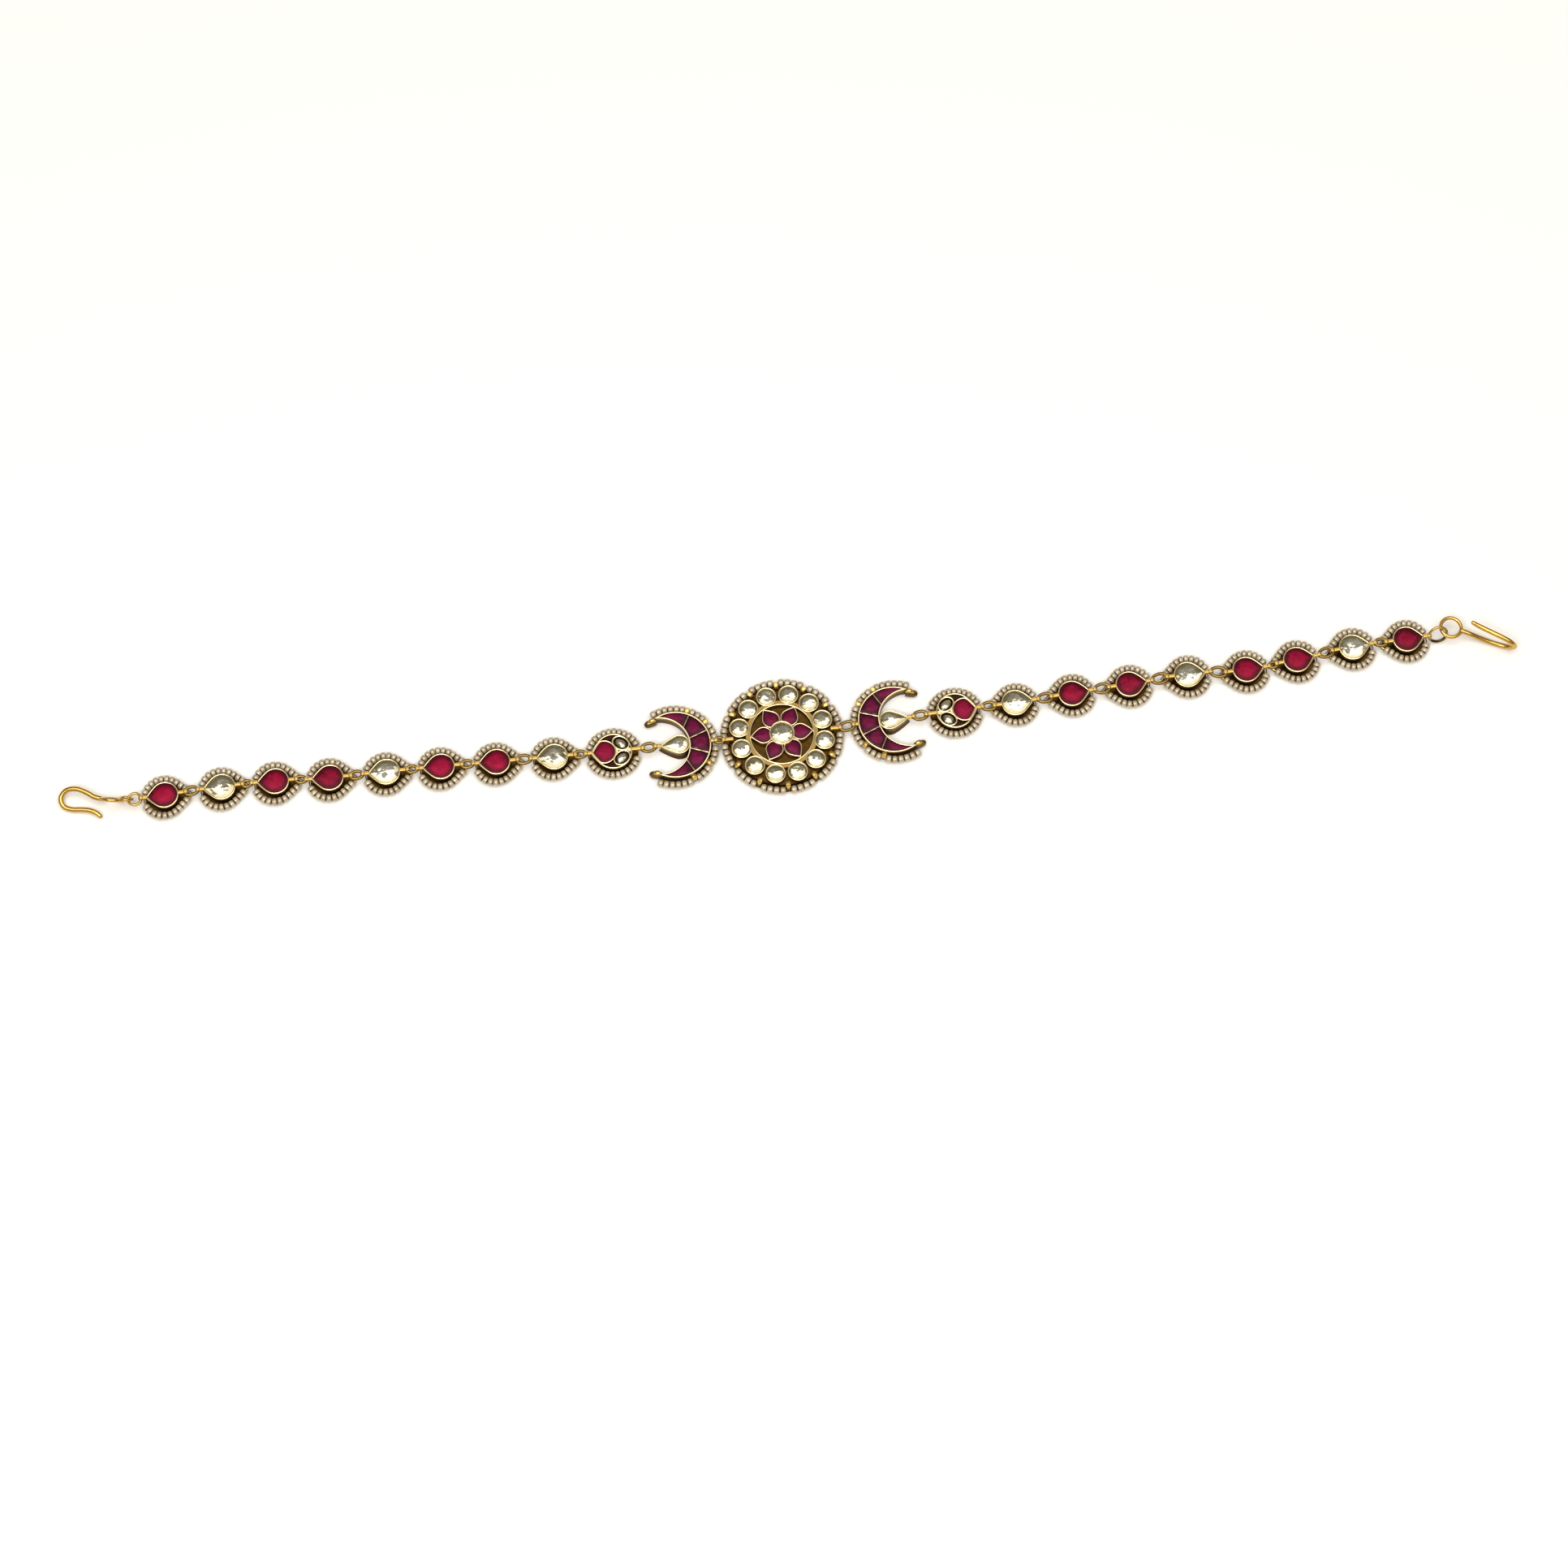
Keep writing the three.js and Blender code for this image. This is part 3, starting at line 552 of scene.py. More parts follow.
def stone_group():
    """The colour of glass over foil: the middle colour, turned to the girdle colour near the girdle as
    painted shade, and broken by facets, with each stone's tone a little different from the next. A facet's
    height is how far a point is from the facet's middle along a direction of the facet's own."""
    group = new_group("foil_stone", ["Middle", "Girdle"], ["Facets", "Roughness"])
    given = add(group, "NodeGroupInput").outputs
    own = own_values(group)
    place = add(group, "ShaderNodeTexCoord").outputs["Object"]
    flat = add(group, "ShaderNodeCombineXYZ", X=own["X"], Y=own["Y"]).outputs["Vector"]
    # Painted shade: towards the girdle the colour turns to the girdle colour.
    edge = ramp(group, vector_worked_out(group, "LENGTH", flat), 0.45, 1.05)
    cells = add(group, "ShaderNodeTexVoronoi", Vector=place, Scale=900.0).outputs
    shade = add(group, "ShaderNodeSeparateColor", Color=cells["Color"]).outputs
    uneven = worked_out(group, "MULTIPLY", shade["Red"], given["Facets"])
    tone = worked_out(group, "MULTIPLY_ADD", own["Z"], 0.3, uneven)
    girdle_shade_and_tone = worked_out(group, "ADD", edge, tone, clamp=True)
    rough = worked_out(group, "MULTIPLY_ADD", shade["Green"], 0.12, given["Roughness"])
    within = vector_worked_out(group, "SUBTRACT", place, cells["Position"])
    lean = vector_worked_out(group, "SUBTRACT", cells["Color"], (0.5, 0.5, 0.5))
    climb = vector_worked_out(group, "DOT_PRODUCT", within, lean)
    soft = add(group, "ShaderNodeTexNoise", Vector=place, Scale=650.0, Detail=1.0).outputs["Fac"]
    height = worked_out(group, "MULTIPLY_ADD", climb, FACET_SLOPE, soft)
    colour = mixed(group, girdle_shade_and_tone, given["Middle"], given["Girdle"])
    add(group, "NodeGroupOutput", Color=colour, Roughness=rough, Height=height)
    return group


FOIL_STONE = stone_group()


def foil_backed(name, metallic, coat, strength, **inputs):
    """A foil-backed glass stone: the foil and the glass's colour in the base, and the polished glass as a
    clear coat over it."""
    glass = {"Coat_Weight": coat, "Coat_Roughness": 0.02, "Coat_IOR": 1.55, "Specular_IOR_Level": 0.25}
    return finished(name, FOIL_STONE, {"Metallic": metallic, **glass}, strength, 0.3e-3, **inputs)


def red_glass(name, middle, girdle, facets, coat=0.02, roughness=0.4):
    """A dark stone, with less of a mirror in it than a clear one."""
    colours = {"Middle": middle, "Girdle": girdle}
    return foil_backed(name, 0.5, coat, 0.2, Facets=facets, Roughness=roughness, **colours)


# Each stone's Girdle colour is the painted shade near its girdle.
CLEAR_STONE = foil_backed(
    "clear_stone",
    metallic=0.92,
    coat=0.9,
    strength=0.42,
    Middle=(0.90, 0.86, 0.72),
    Girdle=(0.30, 0.26, 0.14),
    Facets=0.55,
    Roughness=0.03,
)
PURPLE_RUBY = red_glass("purple_ruby", (0.18, 0.001, 0.045), (0.05, 0.0, 0.015), 0.3, coat=0.06)

round_stones, petal_stones = [], []
for place in CELL_PLACES:
    stone = gem(lambda grow: circle(CELL_RADIUS, grow, 32), BEZEL_TOP + 0.1e-3, tone=rng.random())
    round_stones += moved([stone], place)
for place in PETAL_PLACES:
    stone = gem(petal_outline, PETAL_TOP + 0.05e-3, inset=0.26e-3, tone=rng.random())
    petal_stones += moved([stone], place)
centre_stone = gem(lambda grow: circle(CENTRE_RADIUS, grow, 32), CENTRE_TOP + 0.1e-3, 0.32e-3, low=2.2e-3)
piece("medallion_round_stones", round_stones, CLEAR_STONE)
piece("medallion_petal_stones", petal_stones, PURPLE_RUBY)
piece("medallion_centre_stone", [centre_stone], CLEAR_STONE)

# ==== Medallion: the seed pearls ======================================================================
# Small flattened seed pearls, pierced and strung on a wire round the back plate, four between each pair
# of gold staples.
PEARL_RADIUS = 0.97e-3
PEARLS_A_RUN = 4
STAPLE_HALF_ANGLE = 2.2


def bead(radius, half, tone):
    """A pierced bead whose hole runs along X: its radius follows a flattened arch from end to end."""
    along = np.array([-1.0, -0.84, -0.36, 0.36, 0.84, 1.0])
    arch = np.array([0.42, 0.80, 1.0, 1.0, 0.80, 0.42])
    angle = np.linspace(0, 2 * np.pi, 12, endpoint=False)
    y = radius * np.multiply.outer(arch, np.cos(angle))
    z = radius * np.multiply.outer(arch, np.sin(angle))
    x = np.broadcast_to((half * along)[:, None], y.shape)
    own = np.stack([x / half, y / radius, np.full_like(x, tone)], axis=-1)
    return closed_shell(np.stack([x, y, z], axis=-1), own)


def strung(line, start, end, count):
    """Beads that fill a line between two angles, evenly by its length, each turned along it. The line
    gives x and y for angles in degrees about Z."""
    path = line(np.linspace(start, end, 240))
    run = np.append(0, np.cumsum(np.linalg.norm(np.diff(path, axis=0), axis=1)))
    ahead = np.gradient(path, axis=0)
    slope = np.degrees(np.unwrap(np.arctan2(ahead[:, 1], ahead[:, 0])))
    pitch = run[-1] / count
    beads = []
    for at in pitch * (np.arange(count) + 0.5):
        x, y, turn = (np.interp(at, run, values) for values in (path[:, 0], path[:, 1], slope))
        size = rng.uniform(0.93, 1.0)
        made = bead(PEARL_RADIUS * size, pitch * rng.uniform(0.47, 0.505), rng.random())
        beads.append(placed(made, x, y, turn + rng.uniform(-5, 5), THREAD_HEIGHT))
    return beads


def medallion_line(angle):
    """The pearls' line, for angles in degrees: a circle."""
    return MEDALLION_THREAD * towards(angle)


def pearl_material():
    """Nacre: a warm grey body, each bead of its own tone, with painted shade towards the hole ends where
    the beads meet, and a soft sheen.
    """
    material, shader = new_material("seed_pearl", Metallic=0.25, Coat_Weight=0.9, Coat_Roughness=0.14)
    tree = material.node_tree
    own = own_values(tree)
    place = add(tree, "ShaderNodeTexCoord").outputs["Object"]
    lustre = add(tree, "ShaderNodeTexNoise", Vector=place, Scale=1800.0, Detail=2.0).outputs["Fac"]
    body = mixed(tree, own["Z"], (0.44, 0.34, 0.21), (0.68, 0.58, 0.41))
    cloudy = mixed(tree, lustre, (0.42, 0.35, 0.24), body)
    # Painted shade: towards each end of the hole, where one bead meets the next, the colour turns dark
    # brown.
    hole_shade = ramp(tree, worked_out(tree, "MULTIPLY", own["X"], own["X"]), 0.3, 0.9)
    colour = mixed(tree, hole_shade, cloudy, (0.09, 0.055, 0.022))
    rough = add(tree, "ShaderNodeMapRange", Value=lustre, To_Min=0.24, To_Max=0.42)
    fill(shader, Base_Color=colour, Roughness=rough.outputs["Result"])
    relieved(shader, 0.15, 0.03e-3, lustre)
    return material


SEED_PEARL = pearl_material()
medallion_beads = []
for i in range(CELLS):
    start = 360 / CELLS * i + STAPLE_HALF_ANGLE
    end = 360 / CELLS * (i + 1) - STAPLE_HALF_ANGLE
    medallion_beads += strung(medallion_line, start, end, PEARLS_A_RUN)
piece("medallion_bead_ring", medallion_beads, SEED_PEARL, ["medallion_pearls"])

# ==== Jump rings ======================================================================================
# Round gold wire, closed and soldered to the eye nearer the medallion, loose in the next eye. They tie
# each side into one chain, so the links' places are worked out here.
RING_HEIGHT = 2.78e-3
RING_WIRE = 0.25e-3
RING_PLAY = 0.14e-3
RING_SOLDER = 0.1e-3
# The ring's own wire is thicker than the radius that its line is set out by, and painted part way to brown
# as painted shade.
RING_THICKNESS = 0.42e-3
RING_PAINTED_SHADE = 0.7
RING_NARROWING = 0.62
# For each link from the crescent outwards: its distance from the one before in metres, and the heading of
# that step in degrees, turned from the chain's axis towards +Y.
STEPS = {
    "left": [
        (25.50e-3, 0.4), (14.95e-3, 0.0), (14.60e-3, 0.9), (13.75e-3, 1.2), (13.25e-3, 1.3),
        (13.00e-3, 0.6), (13.45e-3, 0.2), (12.95e-3, 2.6), (12.75e-3, 0.0), (13.55e-3, -2.3),
    ],
    "right": [
        (26.90e-3, 1.5), (15.00e-3, 2.2), (15.05e-3, 1.6), (13.85e-3, 3.4), (14.05e-3, 3.3),
        (14.30e-3, 3.4), (14.20e-3, -1.2), (12.55e-3, 5.6), (14.00e-3, 6.9), (13.25e-3, 2.4),
    ],
}
CRESCENT_INNER_EYE, CRESCENT_OUTER_EYE = 10.3e-3, 5.5e-3
TRIO_INNER_EYE, TRIO_OUTER_EYE = 7.7e-3, 7.2e-3
PEAR_INNER_EYE, PEAR_OUTER_EYE = 6.2e-3, 5.7e-3
PEARS = 8


def link_places(side):
    """(middle, turn) of each link from the crescent outwards, turned halfway between the steps that meet
    in it."""
    headings = [180 - heading if side == "left" else heading for _, heading in STEPS[side]]
    middles = np.cumsum([step * towards(turn) for (step, _), turn in zip(STEPS[side], headings)], axis=0)
    following = headings[1:] + headings[-1:]
    return [(middle, (turn + after) / 2) for middle, turn, after in zip(middles, headings, following)]


PLACES = {side: link_places(side) for side in ("left", "right")}


def between(place, outer_eye, next_place, inner_eye):
    """The jump ring from one link's outer eye to the next one's inner eye: a flat hoop, pulled a little
    oval, whose ends lie just inside the two posts."""
    (middle, turn), (next_middle, next_turn) = place, next_place
    near = middle + towards(turn) * (outer_eye - EYE_POST)
    far = next_middle - towards(next_turn) * (inner_eye - EYE_POST)
    along = (far - near) / np.linalg.norm(far - near)
    near = near + along * (RING_SOLDER - RING_WIRE)
    far = far + along * (RING_PLAY + RING_WIRE)
    radius = np.linalg.norm(far - near) / 2
    ring = hoop(radius, RING_NARROWING * radius, RING_THICKNESS, RING_HEIGHT, 28, 10)
    heading = np.degrees(np.arctan2(along[1], along[0]))
    # The ring is painted part of the way to brown: painted shade.
    return moved(polished([ring], RING_PAINTED_SHADE), ((near + far) / 2, heading))


for side, turn in (("left", 180.0), ("right", 0.0)):
    medallion = (np.zeros(2), turn)
    medallion_gold += between(medallion, MEDALLION_EYE, PLACES[side][0], CRESCENT_INNER_EYE)
piece("medallion_mount", medallion_gold, SETTING_GOLD, ["medallion_setting"])

# ==== Crescents =======================================================================================
# A crescent channel of gilded brass holds five ruby stones between thin dividers, and a tear-shaped cup
# is soldered in its opening. Seed pearls follow the outer edge under gold staples, from horn to horn.
CRESCENT_OUTER = 8.5e-3
CRESCENT_INNER = 7.2e-3
CRESCENT_SHIFT = 3.9e-3
CRESCENT_WALL = 0.34e-3
DIVIDER_FAN = 41
DIVIDER_GAP = 1.6
DIVIDER_BREADTH, DIVIDER_DEPTH = 0.3e-3, 0.9e-3
TEAR_RADIUS, TEAR_REACH, TEAR_MIDDLE = 2.45e-3, 4.65e-3, -1.0e-3
CRESCENT_STAPLES = (35, 67.5)
STAPLE_GAP = 3
CRESCENT_STAPLE = (8.35e-3, 9.25e-3)
CRESCENT_THREAD, THREAD_WIDENING = 9.55e-3, 0.45e-3
PEARL_START, PEARL_SWEEP = 5, 121
HORN_AT, HORN_TURN = (3.98e-3, 7.03e-3), 14
HORN_GAP = 6
horn_x = (CRESCENT_OUTER**2 - CRESCENT_INNER**2 + CRESCENT_SHIFT**2) / (2 * CRESCENT_SHIFT)
HORN_ANGLE = np.degrees(np.arccos(horn_x / CRESCENT_OUTER))


def inner_radius(angle):
    """Distance from the outer circle's middle to the inner circle in a direction: s cos a plus the root of
    R squared less (s sin a) squared, where s is the shift and R the inner radius."""
    a = np.radians(angle)
    return CRESCENT_SHIFT * np.cos(a) + np.sqrt(CRESCENT_INNER**2 - (CRESCENT_SHIFT * np.sin(a)) ** 2)


def crescent_body():
    """The channel's section at each angle from horn to horn. Each of its points keeps a distance from the
    outer or the inner edge, but none passes the middle of the channel, so the horns close in solid gold."""
    lip, wall, closing = 0.12e-3, CRESCENT_WALL, 0.01e-3
    rising = [
        (0.35e-3, 0.0),
        (0.35e-3, PLATE_TOP),
        (0.05e-3, PLATE_TOP + 0.1e-3),
        (0.0, BEZEL_TOP - lip),
        (-0.3 * lip, BEZEL_TOP - 0.3 * lip),
        (-lip, BEZEL_TOP),
        (lip - wall, BEZEL_TOP),
        (0.3 * lip - wall, BEZEL_TOP - 0.3 * lip),
        (-wall, BEZEL_TOP - lip),
        (-wall, CUP_FLOOR),
    ]
    profile = [(1, *row) for row in rising] + [(-1, *row) for row in rising[::-1]]
    edge, grow, height = np.array(profile).T
    angle = np.linspace(HORN_ANGLE, 360 - HORN_ANGLE, 90)[:, None]
    inner = inner_radius(angle)
    middle = (CRESCENT_OUTER + inner) / 2
    outside = np.maximum(CRESCENT_OUTER + grow, middle + closing)
    inside = np.minimum(inner - np.minimum(grow, 0), middle - closing)
    radius = np.where(edge > 0, outside, inside)
    flat = radius[..., None] * towards(angle)
    return closed_shell(np.concatenate([flat, (height + 0 * radius)[..., None]], axis=-1))


def segment(start, end, top, tone):
    """A ruby that fills the channel between two angles: rings of a unit square, shrinking to its middle,
    with one side carried along the angle and the other across the channel."""
    steps = 8
    step = np.linspace(-1, 1, steps + 1)[:-1]
    ones = np.ones(steps)
    along = np.concatenate([step, ones, -step, -ones])
    square = np.column_stack([along, np.roll(along, steps)])
    rows = [(1.0, 1.6e-3), (1.0, top - 0.4e-3), (0.96, top - 0.2e-3), (0.8, top - 0.07e-3), (0.45, top)]
    scale, height = np.array(rows).T[..., None]
    angle = (start + end) / 2 + (end - start) / 2 * square[:, 0] * scale
    inner = inner_radius(angle) + CRESCENT_WALL
    outer = CRESCENT_OUTER - CRESCENT_WALL
    radius = (outer + inner) / 2 + (outer - inner) / 2 * square[:, 1] * scale
    flat = radius[..., None] * towards(angle)
    grid = np.concatenate([flat, (height + 0 * radius)[..., None]], axis=-1)
    own = np.full_like(grid, tone)
    own[..., :2] = square * scale[..., None]
    return closed_shell(grid, own)


def crescent_thread(angle):
    """The pearls' distance from the middle grows with the square of the angle from the crescent's back."""
    return CRESCENT_THREAD + THREAD_WIDENING * ((angle - 180) / PEARL_SWEEP) ** 2


def crescent_line(angle):
    """The pearls' line, for angles in degrees."""
    return crescent_thread(angle)[:, None] * towards(angle)


def tear_outline(grow):
    """The tear-shaped cup's outline, grown."""
    return teardrop(TEAR_RADIUS, TEAR_REACH, grow)


def divider(start):
    """A thin strip on edge along +X, pinched here and there where the foil was pressed against it: its
    breadth is multiplied by 1 plus a part of the product of a slow and a quick sine."""
    x = np.linspace(start, CRESCENT_OUTER - 0.15e-3, 16)
    pinch = 1 + 0.22 * np.sin(2.4e3 * x + rng.uniform(0, 6)) * np.sin(5.1e3 * x)
    path = np.column_stack([x, np.full_like(x, BEZEL_TOP - DIVIDER_DEPTH / 2)])
    return swept(path, DIVIDER_BREADTH * pinch, DIVIDER_DEPTH, 8, 0.6)


def horn_end():
    """A rounded block past the horn, and the bright nub of gold that closes the bezel's tip."""
    block_x = np.array([0, 0.12, 0.5, 2.0, 2.6, 2.95]) * 1e-3
    block_z = np.array([1.25, 1.25, 1.25, 1.2, 1.15, 1.1]) * 1e-3
    block_breadth = np.array([0.9, 1.35, 1.5, 1.5, 1.25, 0.6]) * 1e-3
    block_depth = np.array([2.0, 2.4, 2.5, 2.3, 1.8, 0.9]) * 1e-3
    block = swept(np.column_stack([block_x, block_z]), block_breadth, block_depth, 14, 0.7)
    nub_x = np.array([0.4, 0.55, 1.05, 1.55, 1.75]) * 1e-3
    nub_z = np.array([2.6, 2.7, 2.75, 2.65, 2.55]) * 1e-3
    nub_breadth = np.array([0.6, 1.0, 1.2, 1.0, 0.6]) * 1e-3
    nub_depth = np.array([0.5, 0.8, 0.95, 0.8, 0.5]) * 1e-3
    nub = swept(np.column_stack([nub_x, nub_z]), nub_breadth, nub_depth, 12, 0.8)
    return [block, *polished([nub])]


def crescent_gold():
    """All the metal of one crescent, in its own frame."""
    tear = cup(tear_outline, BEZEL_TOP, CUP_FLOOR)
    flare_rows = [(0.35e-3, 0.03e-3), (0.3e-3, 0.25e-3), (0.1e-3, 0.8e-3), (-0.05e-3, 1.6e-3)]
    flare = closed_shell(stacked(tear_outline, flare_rows))
    parts = [crescent_body(), placed(tear, TEAR_MIDDLE), placed(flare, TEAR_MIDDLE)]
    for i in range(4):
        turn = 180 + (i - 1.5) * DIVIDER_FAN
        parts.append(placed(divider(inner_radius(turn) + 0.15e-3), turn=turn))
    for side in (-1, 1):
        parts += moved(horn_end(), ((HORN_AT[0], side * HORN_AT[1]), -side * HORN_TURN))
        for angle in CRESCENT_STAPLES:
            wrap = staple(*CRESCENT_STAPLE, crescent_thread(180 + angle) + 0.4e-3, height=2.6e-3)
            parts.append(placed(wrap, turn=180 + side * angle))
    outer = (TEAR_REACH + TEAR_MIDDLE - 0.3e-3, CRESCENT_OUTER_EYE)
    return parts + eyes(outer, (CRESCENT_OUTER - 0.2e-3, CRESCENT_INNER_EYE))


def ruby_spans():
    """The angles from the crescent's back between which each of the five rubies lies."""
    half = DIVIDER_FAN / 2
    spans = [(-half + DIVIDER_GAP, half - DIVIDER_GAP)]
    for sign in (-1, 1):
        spans.append((sign * (half + DIVIDER_GAP), sign * (3 * half - DIVIDER_GAP)))
        spans.append((sign * (3 * half + DIVIDER_GAP), sign * (180 - HORN_ANGLE - HORN_GAP)))
    return [(180 + min(span), 180 + max(span)) for span in spans]


def crescent_beads():
    """The pearls between the staples on each side of the crescent's back."""
    first, second = CRESCENT_STAPLES
    runs = [
        (PEARL_START, first - STAPLE_GAP, 3),
        (first + STAPLE_GAP, second - STAPLE_GAP, 3),
        (second + STAPLE_GAP, PEARL_SWEEP, 6),
    ]
    beads = []
    for sign in (-1, 1):
        for start, end, count in runs:
            beads += strung(crescent_line, 180 + sign * start, 180 + sign * end, count)
    return beads


for side in ("left", "right"):
    place, following = PLACES[side][:2]
    gold = moved(crescent_gold(), place)
    gold += between(place, CRESCENT_OUTER_EYE, following, TRIO_INNER_EYE)
    piece(f"crescent_mount_{side}", gold, SETTING_GOLD, [f"crescent_setting_{side}"])

    rubies = moved([segment(*span, BEZEL_TOP, rng.random()) for span in ruby_spans()], place)
    piece(f"crescent_rubies_{side}", rubies, PURPLE_RUBY, crease=12)

    tear = placed(gem(tear_outline, BEZEL_TOP + 0.1e-3), TEAR_MIDDLE)
    piece(f"crescent_tear_stone_{side}", moved([tear], place), CLEAR_STONE)

    beads = moved(crescent_beads(), place)
    piece(f"crescent_bead_row_{side}", beads, SEED_PEARL, [f"crescent_pearls_{side}"])

# ==== Links of three stones ===========================================================================
# A drop-shaped gilded cup with its point outwards holds a pointed ruby and two smoky ovals, each in a rim
# of its own, with a dark sliver of glass above and below where the three leave room.
TRIO_RADIUS, TRIO_REACH, TRIO_MIDDLE = 4.5e-3, 5.44e-3, -0.08e-3
TRIO_WALL, TRIO_FLOOR = 0.36e-3, 1.7e-3
TRIO_THREAD = np.array([5.95e-3, 5.6e-3])
OVAL = np.array([1.95e-3, 1.5e-3])
OVAL_AT, OVAL_TURN = (-1.98e-3, 1.88e-3), 38
OVAL_RIM, OVAL_WALL = 0.33e-3, 0.42e-3
POINT_RADIUS, POINT_AT, POINT_INSET = 2.75e-3, 2.25e-3, 0.5e-3
POINT_RIM, POINT_WALL, POINT_FLOOR = 0.3e-3, 0.38e-3, 2.3e-3
RIM_FOOT = 1.0e-3
SLIVER = np.array([1.6e-3, 0.6e-3])
SLIVER_AT, SLIVER_TURN = (0.45e-3, 3.6e-3), -7
FILLING = np.array([0.55e-3, 1.1e-3])
FILLING_AT = -0.75e-3
BARE_ANGLE = 15
TRIO_PEARLS = 12


def shield(grow):
    """The pointed stone's outline: at each angle the softened lesser of a circle's radius and the distance
    to the two straight sides of the cup, (a^-p + b^-p)^(-1/p). A side's distance is its nearest one over
    the cosine of the angle from its square."""
    sine = TRIO_RADIUS / TRIO_REACH
    tip = TRIO_REACH - POINT_INSET + TRIO_MIDDLE - POINT_AT
    angle = np.linspace(-np.pi, np.pi, 64, endpoint=False)
    square = np.maximum(np.cos(np.abs(angle) - np.arccos(sine)), 0.05)
    power = 12
    distance = ((POINT_RADIUS + grow) ** -power + ((tip * sine + grow) / square) ** -power) ** (-1 / power)
    return distance[:, None] * np.stack([np.cos(angle), np.sin(angle)], axis=1)


def ellipse(radii, steps):
    """The unit circle stretched by two radii, as a function of how far they are grown."""
    return lambda grow: circle(1.0, 0.0, steps) * (radii + grow)


def both_sides(surface, at, turn):
    """The same shape on each side of the chain's line, with opposite turns."""
    return [placed(surface, at[0], sign * at[1], sign * turn) for sign in (-1, 1)]


def trio_line(angle):
    """The pearls' line, for angles in degrees: the unit circle stretched by two radii."""
    return towards(angle) * TRIO_THREAD


def trio_gold():
    """All the metal of one link of three stones, in its own frame. Low fillings close the gaps that the
    three rims leave at the middle and at the round end."""
    plate = disc(ellipse(TRIO_THREAD - 0.2e-3, 48), 0.0, PLATE_TOP)
    body = cup(lambda grow: teardrop(TRIO_RADIUS, TRIO_REACH, grow), BEZEL_TOP, TRIO_FLOOR, TRIO_WALL)
    oval_rim = cup(ellipse(OVAL + OVAL_RIM, 32), BEZEL_TOP + 0.04e-3, TRIO_FLOOR, OVAL_WALL, low=RIM_FOOT)
    point_rim = cup(
        lambda grow: shield(grow + POINT_RIM), BEZEL_TOP + 0.03e-3, POINT_FLOOR, POINT_WALL, low=RIM_FOOT
    )
    filling = disc(ellipse(FILLING, 24), 1.5e-3, BEZEL_TOP - 0.12e-3)
    parts = [plate, placed(body, TRIO_MIDDLE)]
    parts += both_sides(oval_rim, OVAL_AT, OVAL_TURN)
    parts += [placed(point_rim, POINT_AT)]
    parts += [placed(filling, FILLING_AT), placed(filling, -TRIO_RADIUS + 0.9e-3, turn=90)]
    outer = (TRIO_REACH + TRIO_MIDDLE - 0.4e-3, TRIO_OUTER_EYE)
    return parts + eyes(outer, (TRIO_RADIUS - TRIO_MIDDLE - 0.2e-3, TRIO_INNER_EYE))


TRIO_RUBY = red_glass("trio_ruby", (0.30, 0.0005, 0.04), (0.10, 0.0, 0.012), 0.25)
GARNET = red_glass("garnet_sliver", (0.035, 0.006, 0.003), (0.015, 0.003, 0.001), 0.1, roughness=0.5)
# The very dark Girdle colour is painted shade round each oval.
SMOKY = foil_backed(
    "smoky_stone",
    metallic=0.85,
    coat=0.7,
    strength=0.6,
    Middle=(0.66, 0.59, 0.47),
    Girdle=(0.05, 0.04, 0.018),
    Facets=0.25,
    Roughness=0.12,
)
for side in ("left", "right"):
    place, following = PLACES[side][1:3]
    gold = moved(trio_gold(), place) + between(place, TRIO_OUTER_EYE, following, PEAR_INNER_EYE)
    piece(f"trio_mount_{side}", gold, SETTING_GOLD, [f"trio_setting_{side}"])

    point = placed(gem(shield, BEZEL_TOP + 0.12e-3, 0.2e-3, low=1.8e-3, inset=0.02e-3), POINT_AT)
    piece(f"trio_ruby_{side}", moved([point], place), TRIO_RUBY)

    sliver = gem(ellipse(SLIVER, 24), BEZEL_TOP - 0.3e-3, 0.05e-3, low=1.4e-3, inset=0.0)
    slivers = moved(both_sides(sliver, SLIVER_AT, SLIVER_TURN), place)
    piece(f"trio_garnet_slivers_{side}", slivers, GARNET)

    stone = gem(ellipse(OVAL, 32), BEZEL_TOP + 0.02e-3, 0.5e-3, low=1.5e-3)
    ovals = moved(both_sides(stone, OVAL_AT, OVAL_TURN), place)
    piece(f"trio_smoky_stones_{side}", ovals, SMOKY, crease=2)

    thread = moved([hoop(*TRIO_THREAD, THREAD_WIRE, THREAD_HEIGHT, 48)], place)
    piece(f"trio_thread_wire_{side}", thread, WIRE_GOLD)
    beads = []
    for start in (BARE_ANGLE, 180 + BARE_ANGLE):
        beads += strung(trio_line, start, start + 180 - 2 * BARE_ANGLE, TRIO_PEARLS)
    beads = moved(beads, place)
    piece(f"trio_bead_rows_{side}", beads, SEED_PEARL, [f"trio_pearls_{side}"])

# ==== Pear-shaped links ===============================================================================
# One pear-cut foil-backed stone in a gilded cup, its point outwards, on a plate whose point faces the other
# way, with a row of seed pearls on each side. Three of each side's eight are clear, and the others ruby.
PEAR_RADIUS, PEAR_REACH, PEAR_MIDDLE = 3.3e-3, 4.4e-3, -0.55e-3
PEAR_FLOOR = 1.6e-3
PEAR_CLEAR = (1, 4, 7)
DROP_MIDDLE, DROP_RADIUS, DROP_REACH = -0.2e-3, 4.7e-3, 7.0e-3
DROP_ROW, DROP_PEARLS = (16, 169), 10
# The jump ring on each side's last link: its radius, and its roll about the chain's line in degrees.
HOOK_RING = {"left": (1.5e-3, 0), "right": (2.2e-3, 65)}
HANGING_WIRE = 0.34e-3
HOOK_REACH = PEAR_OUTER_EYE - EYE_POST + RING_SOLDER - RING_WIRE


